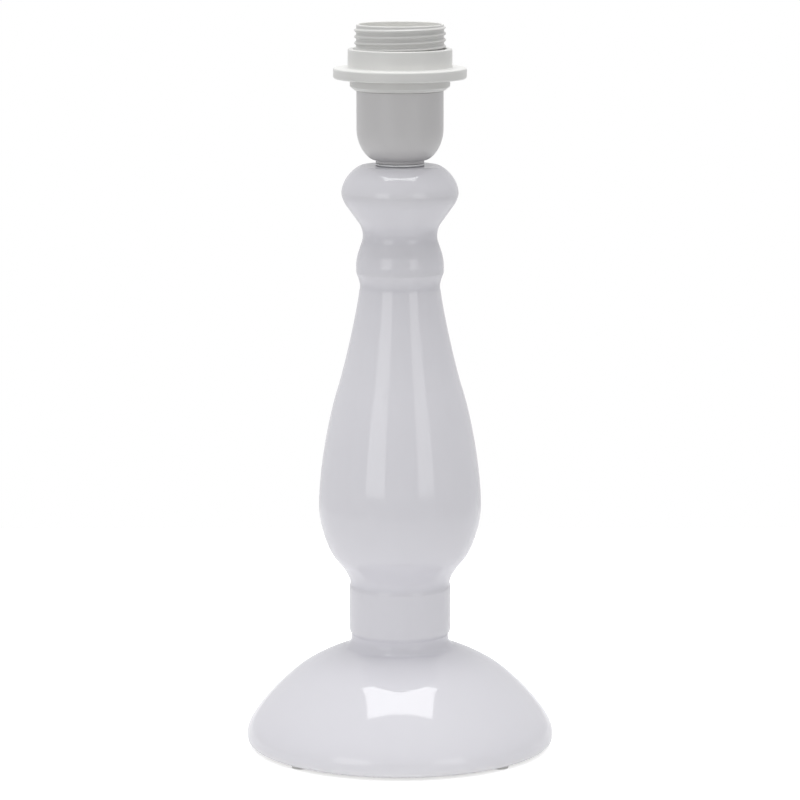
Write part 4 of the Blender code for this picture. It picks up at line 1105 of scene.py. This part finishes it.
def make_world():
    """White to the camera. The light that it gives is a white room's: more from above and the
    sides, and from below what a pale table sends back beyond the edge of this one."""
    world = bpy.data.worlds.new("studio")
    world.use_nodes = True
    tree = world.node_tree
    tree.nodes.clear()
    direct = tree.nodes.new("ShaderNodeBackground")
    ambient = tree.nodes.new("ShaderNodeBackground")
    direct.inputs["Color"].default_value = (1, 1, 1, 1)
    direct.inputs["Strength"].default_value = 1
    ambient.inputs["Color"].default_value = (*AMBIENT_TINT, 1)
    way = tree.nodes.new("ShaderNodeSeparateXYZ")
    tree.links.new(tree.nodes.new("ShaderNodeTexCoord").outputs["Generated"], way.inputs[0])
    above = joined(tree, "MULTIPLY", joined(tree, "MAXIMUM", way.outputs["Z"], 0), AMBIENT_TOP)
    square = joined(tree, "POWER", joined(tree, "ABSOLUTE", way.outputs["X"], 0), 2)
    lean = joined(tree, "SUBTRACT", 1, joined(tree, "MULTIPLY", way.outputs["X"], AMBIENT_LEAN))
    beside = joined(tree, "MULTIPLY", joined(tree, "MULTIPLY", square, lean), AMBIENT_SIDES)
    below = joined(tree, "MULTIPLY", joined(tree, "LESS_THAN", way.outputs["Z"], 0), AMBIENT_BELOW)
    strength = joined(tree, "ADD", joined(tree, "ADD", above, beside),
                      joined(tree, "ADD", below, AMBIENT_BASE))
    tree.links.new(strength, ambient.inputs["Strength"])
    mix = tree.nodes.new("ShaderNodeMixShader")
    output = tree.nodes.new("ShaderNodeOutputWorld")
    tree.links.new(seen_directly(tree), mix.inputs[0])
    tree.links.new(ambient.outputs[0], mix.inputs[1])
    tree.links.new(direct.outputs[0], mix.inputs[2])
    tree.links.new(mix.outputs[0], output.inputs[0])
    bpy.context.scene.world = world


def make_floor():
    """Pale table top, white to the camera away from the lamp's shadow, and left dark in its hollow
    foot."""
    mesh = bpy.data.meshes.new("table_top")
    corners = ((-1, -1), (1, -1), (1, 1), (-1, 1))
    mesh.from_pydata([(x * FLOOR_HALF, y * FLOOR_HALF, FLOOR_LEVEL) for x, y in corners], [],
                     [(0, 1, 2, 3)])
    floor = bpy.data.objects.new("table_top", mesh)
    bpy.context.scene.collection.objects.link(floor)
    material = bpy.data.materials.new("table_paint")
    material.use_nodes = True
    tree = material.node_tree
    tree.nodes.clear()
    diffuse = tree.nodes.new("ShaderNodeBsdfDiffuse")
    diffuse.inputs["Color"].default_value = (FLOOR_COLOUR,) * 3 + (1,)
    glow = tree.nodes.new("ShaderNodeEmission")
    reach = tree.nodes.new("ShaderNodeVectorMath")
    reach.operation = "LENGTH"
    tree.links.new(tree.nodes.new("ShaderNodeTexCoord").outputs["Object"], reach.inputs[0])
    outside = joined(tree, "GREATER_THAN", reach.outputs["Value"], FOOT_LAND_INNER * MM)
    lift = joined(tree, "MULTIPLY", outside, FLOOR_LIFT)
    tree.links.new(joined(tree, "MULTIPLY", seen_directly(tree), lift), glow.inputs["Strength"])
    both = tree.nodes.new("ShaderNodeAddShader")
    output = tree.nodes.new("ShaderNodeOutputMaterial")
    tree.links.new(diffuse.outputs[0], both.inputs[0])
    tree.links.new(glow.outputs[0], both.inputs[1])
    tree.links.new(both.outputs[0], output.inputs[0])
    mesh.materials.append(material)


def softbox(name, place, aim, width, height, radiance):
    """Rectangular soft light at a place, facing a point, with a given brightness of its face."""
    data = bpy.data.lights.new(name, "AREA")
    data.shape = "RECTANGLE"
    data.size, data.size_y = width, height
    data.energy = radiance * math.pi * width * height
    lamp = bpy.data.objects.new(name, data)
    lamp.location = place
    lamp.rotation_mode = "QUATERNION"
    lamp.rotation_quaternion = (Vector(aim) - Vector(place)).to_track_quat("-Z", "Y")
    lamp.visible_camera = False
    bpy.context.scene.collection.objects.link(lamp)


def make_camera():
    """The photograph's view: from the front, slightly above."""
    data = bpy.data.cameras.new("camera")
    data.lens, data.sensor_width = CAMERA_LENS, CAMERA_SENSOR
    camera = bpy.data.objects.new("camera", data)
    camera.location = CAMERA_PLACE
    camera.rotation_euler = (math.pi / 2 - CAMERA_PITCH, 0, 0)
    bpy.context.scene.collection.objects.link(camera)
    bpy.context.scene.camera = camera


make_world()
make_floor()
for name, setting in SOFTBOXES.items():
    softbox(name, *setting)
make_camera()
bpy.context.scene.view_settings.view_transform = "Standard"
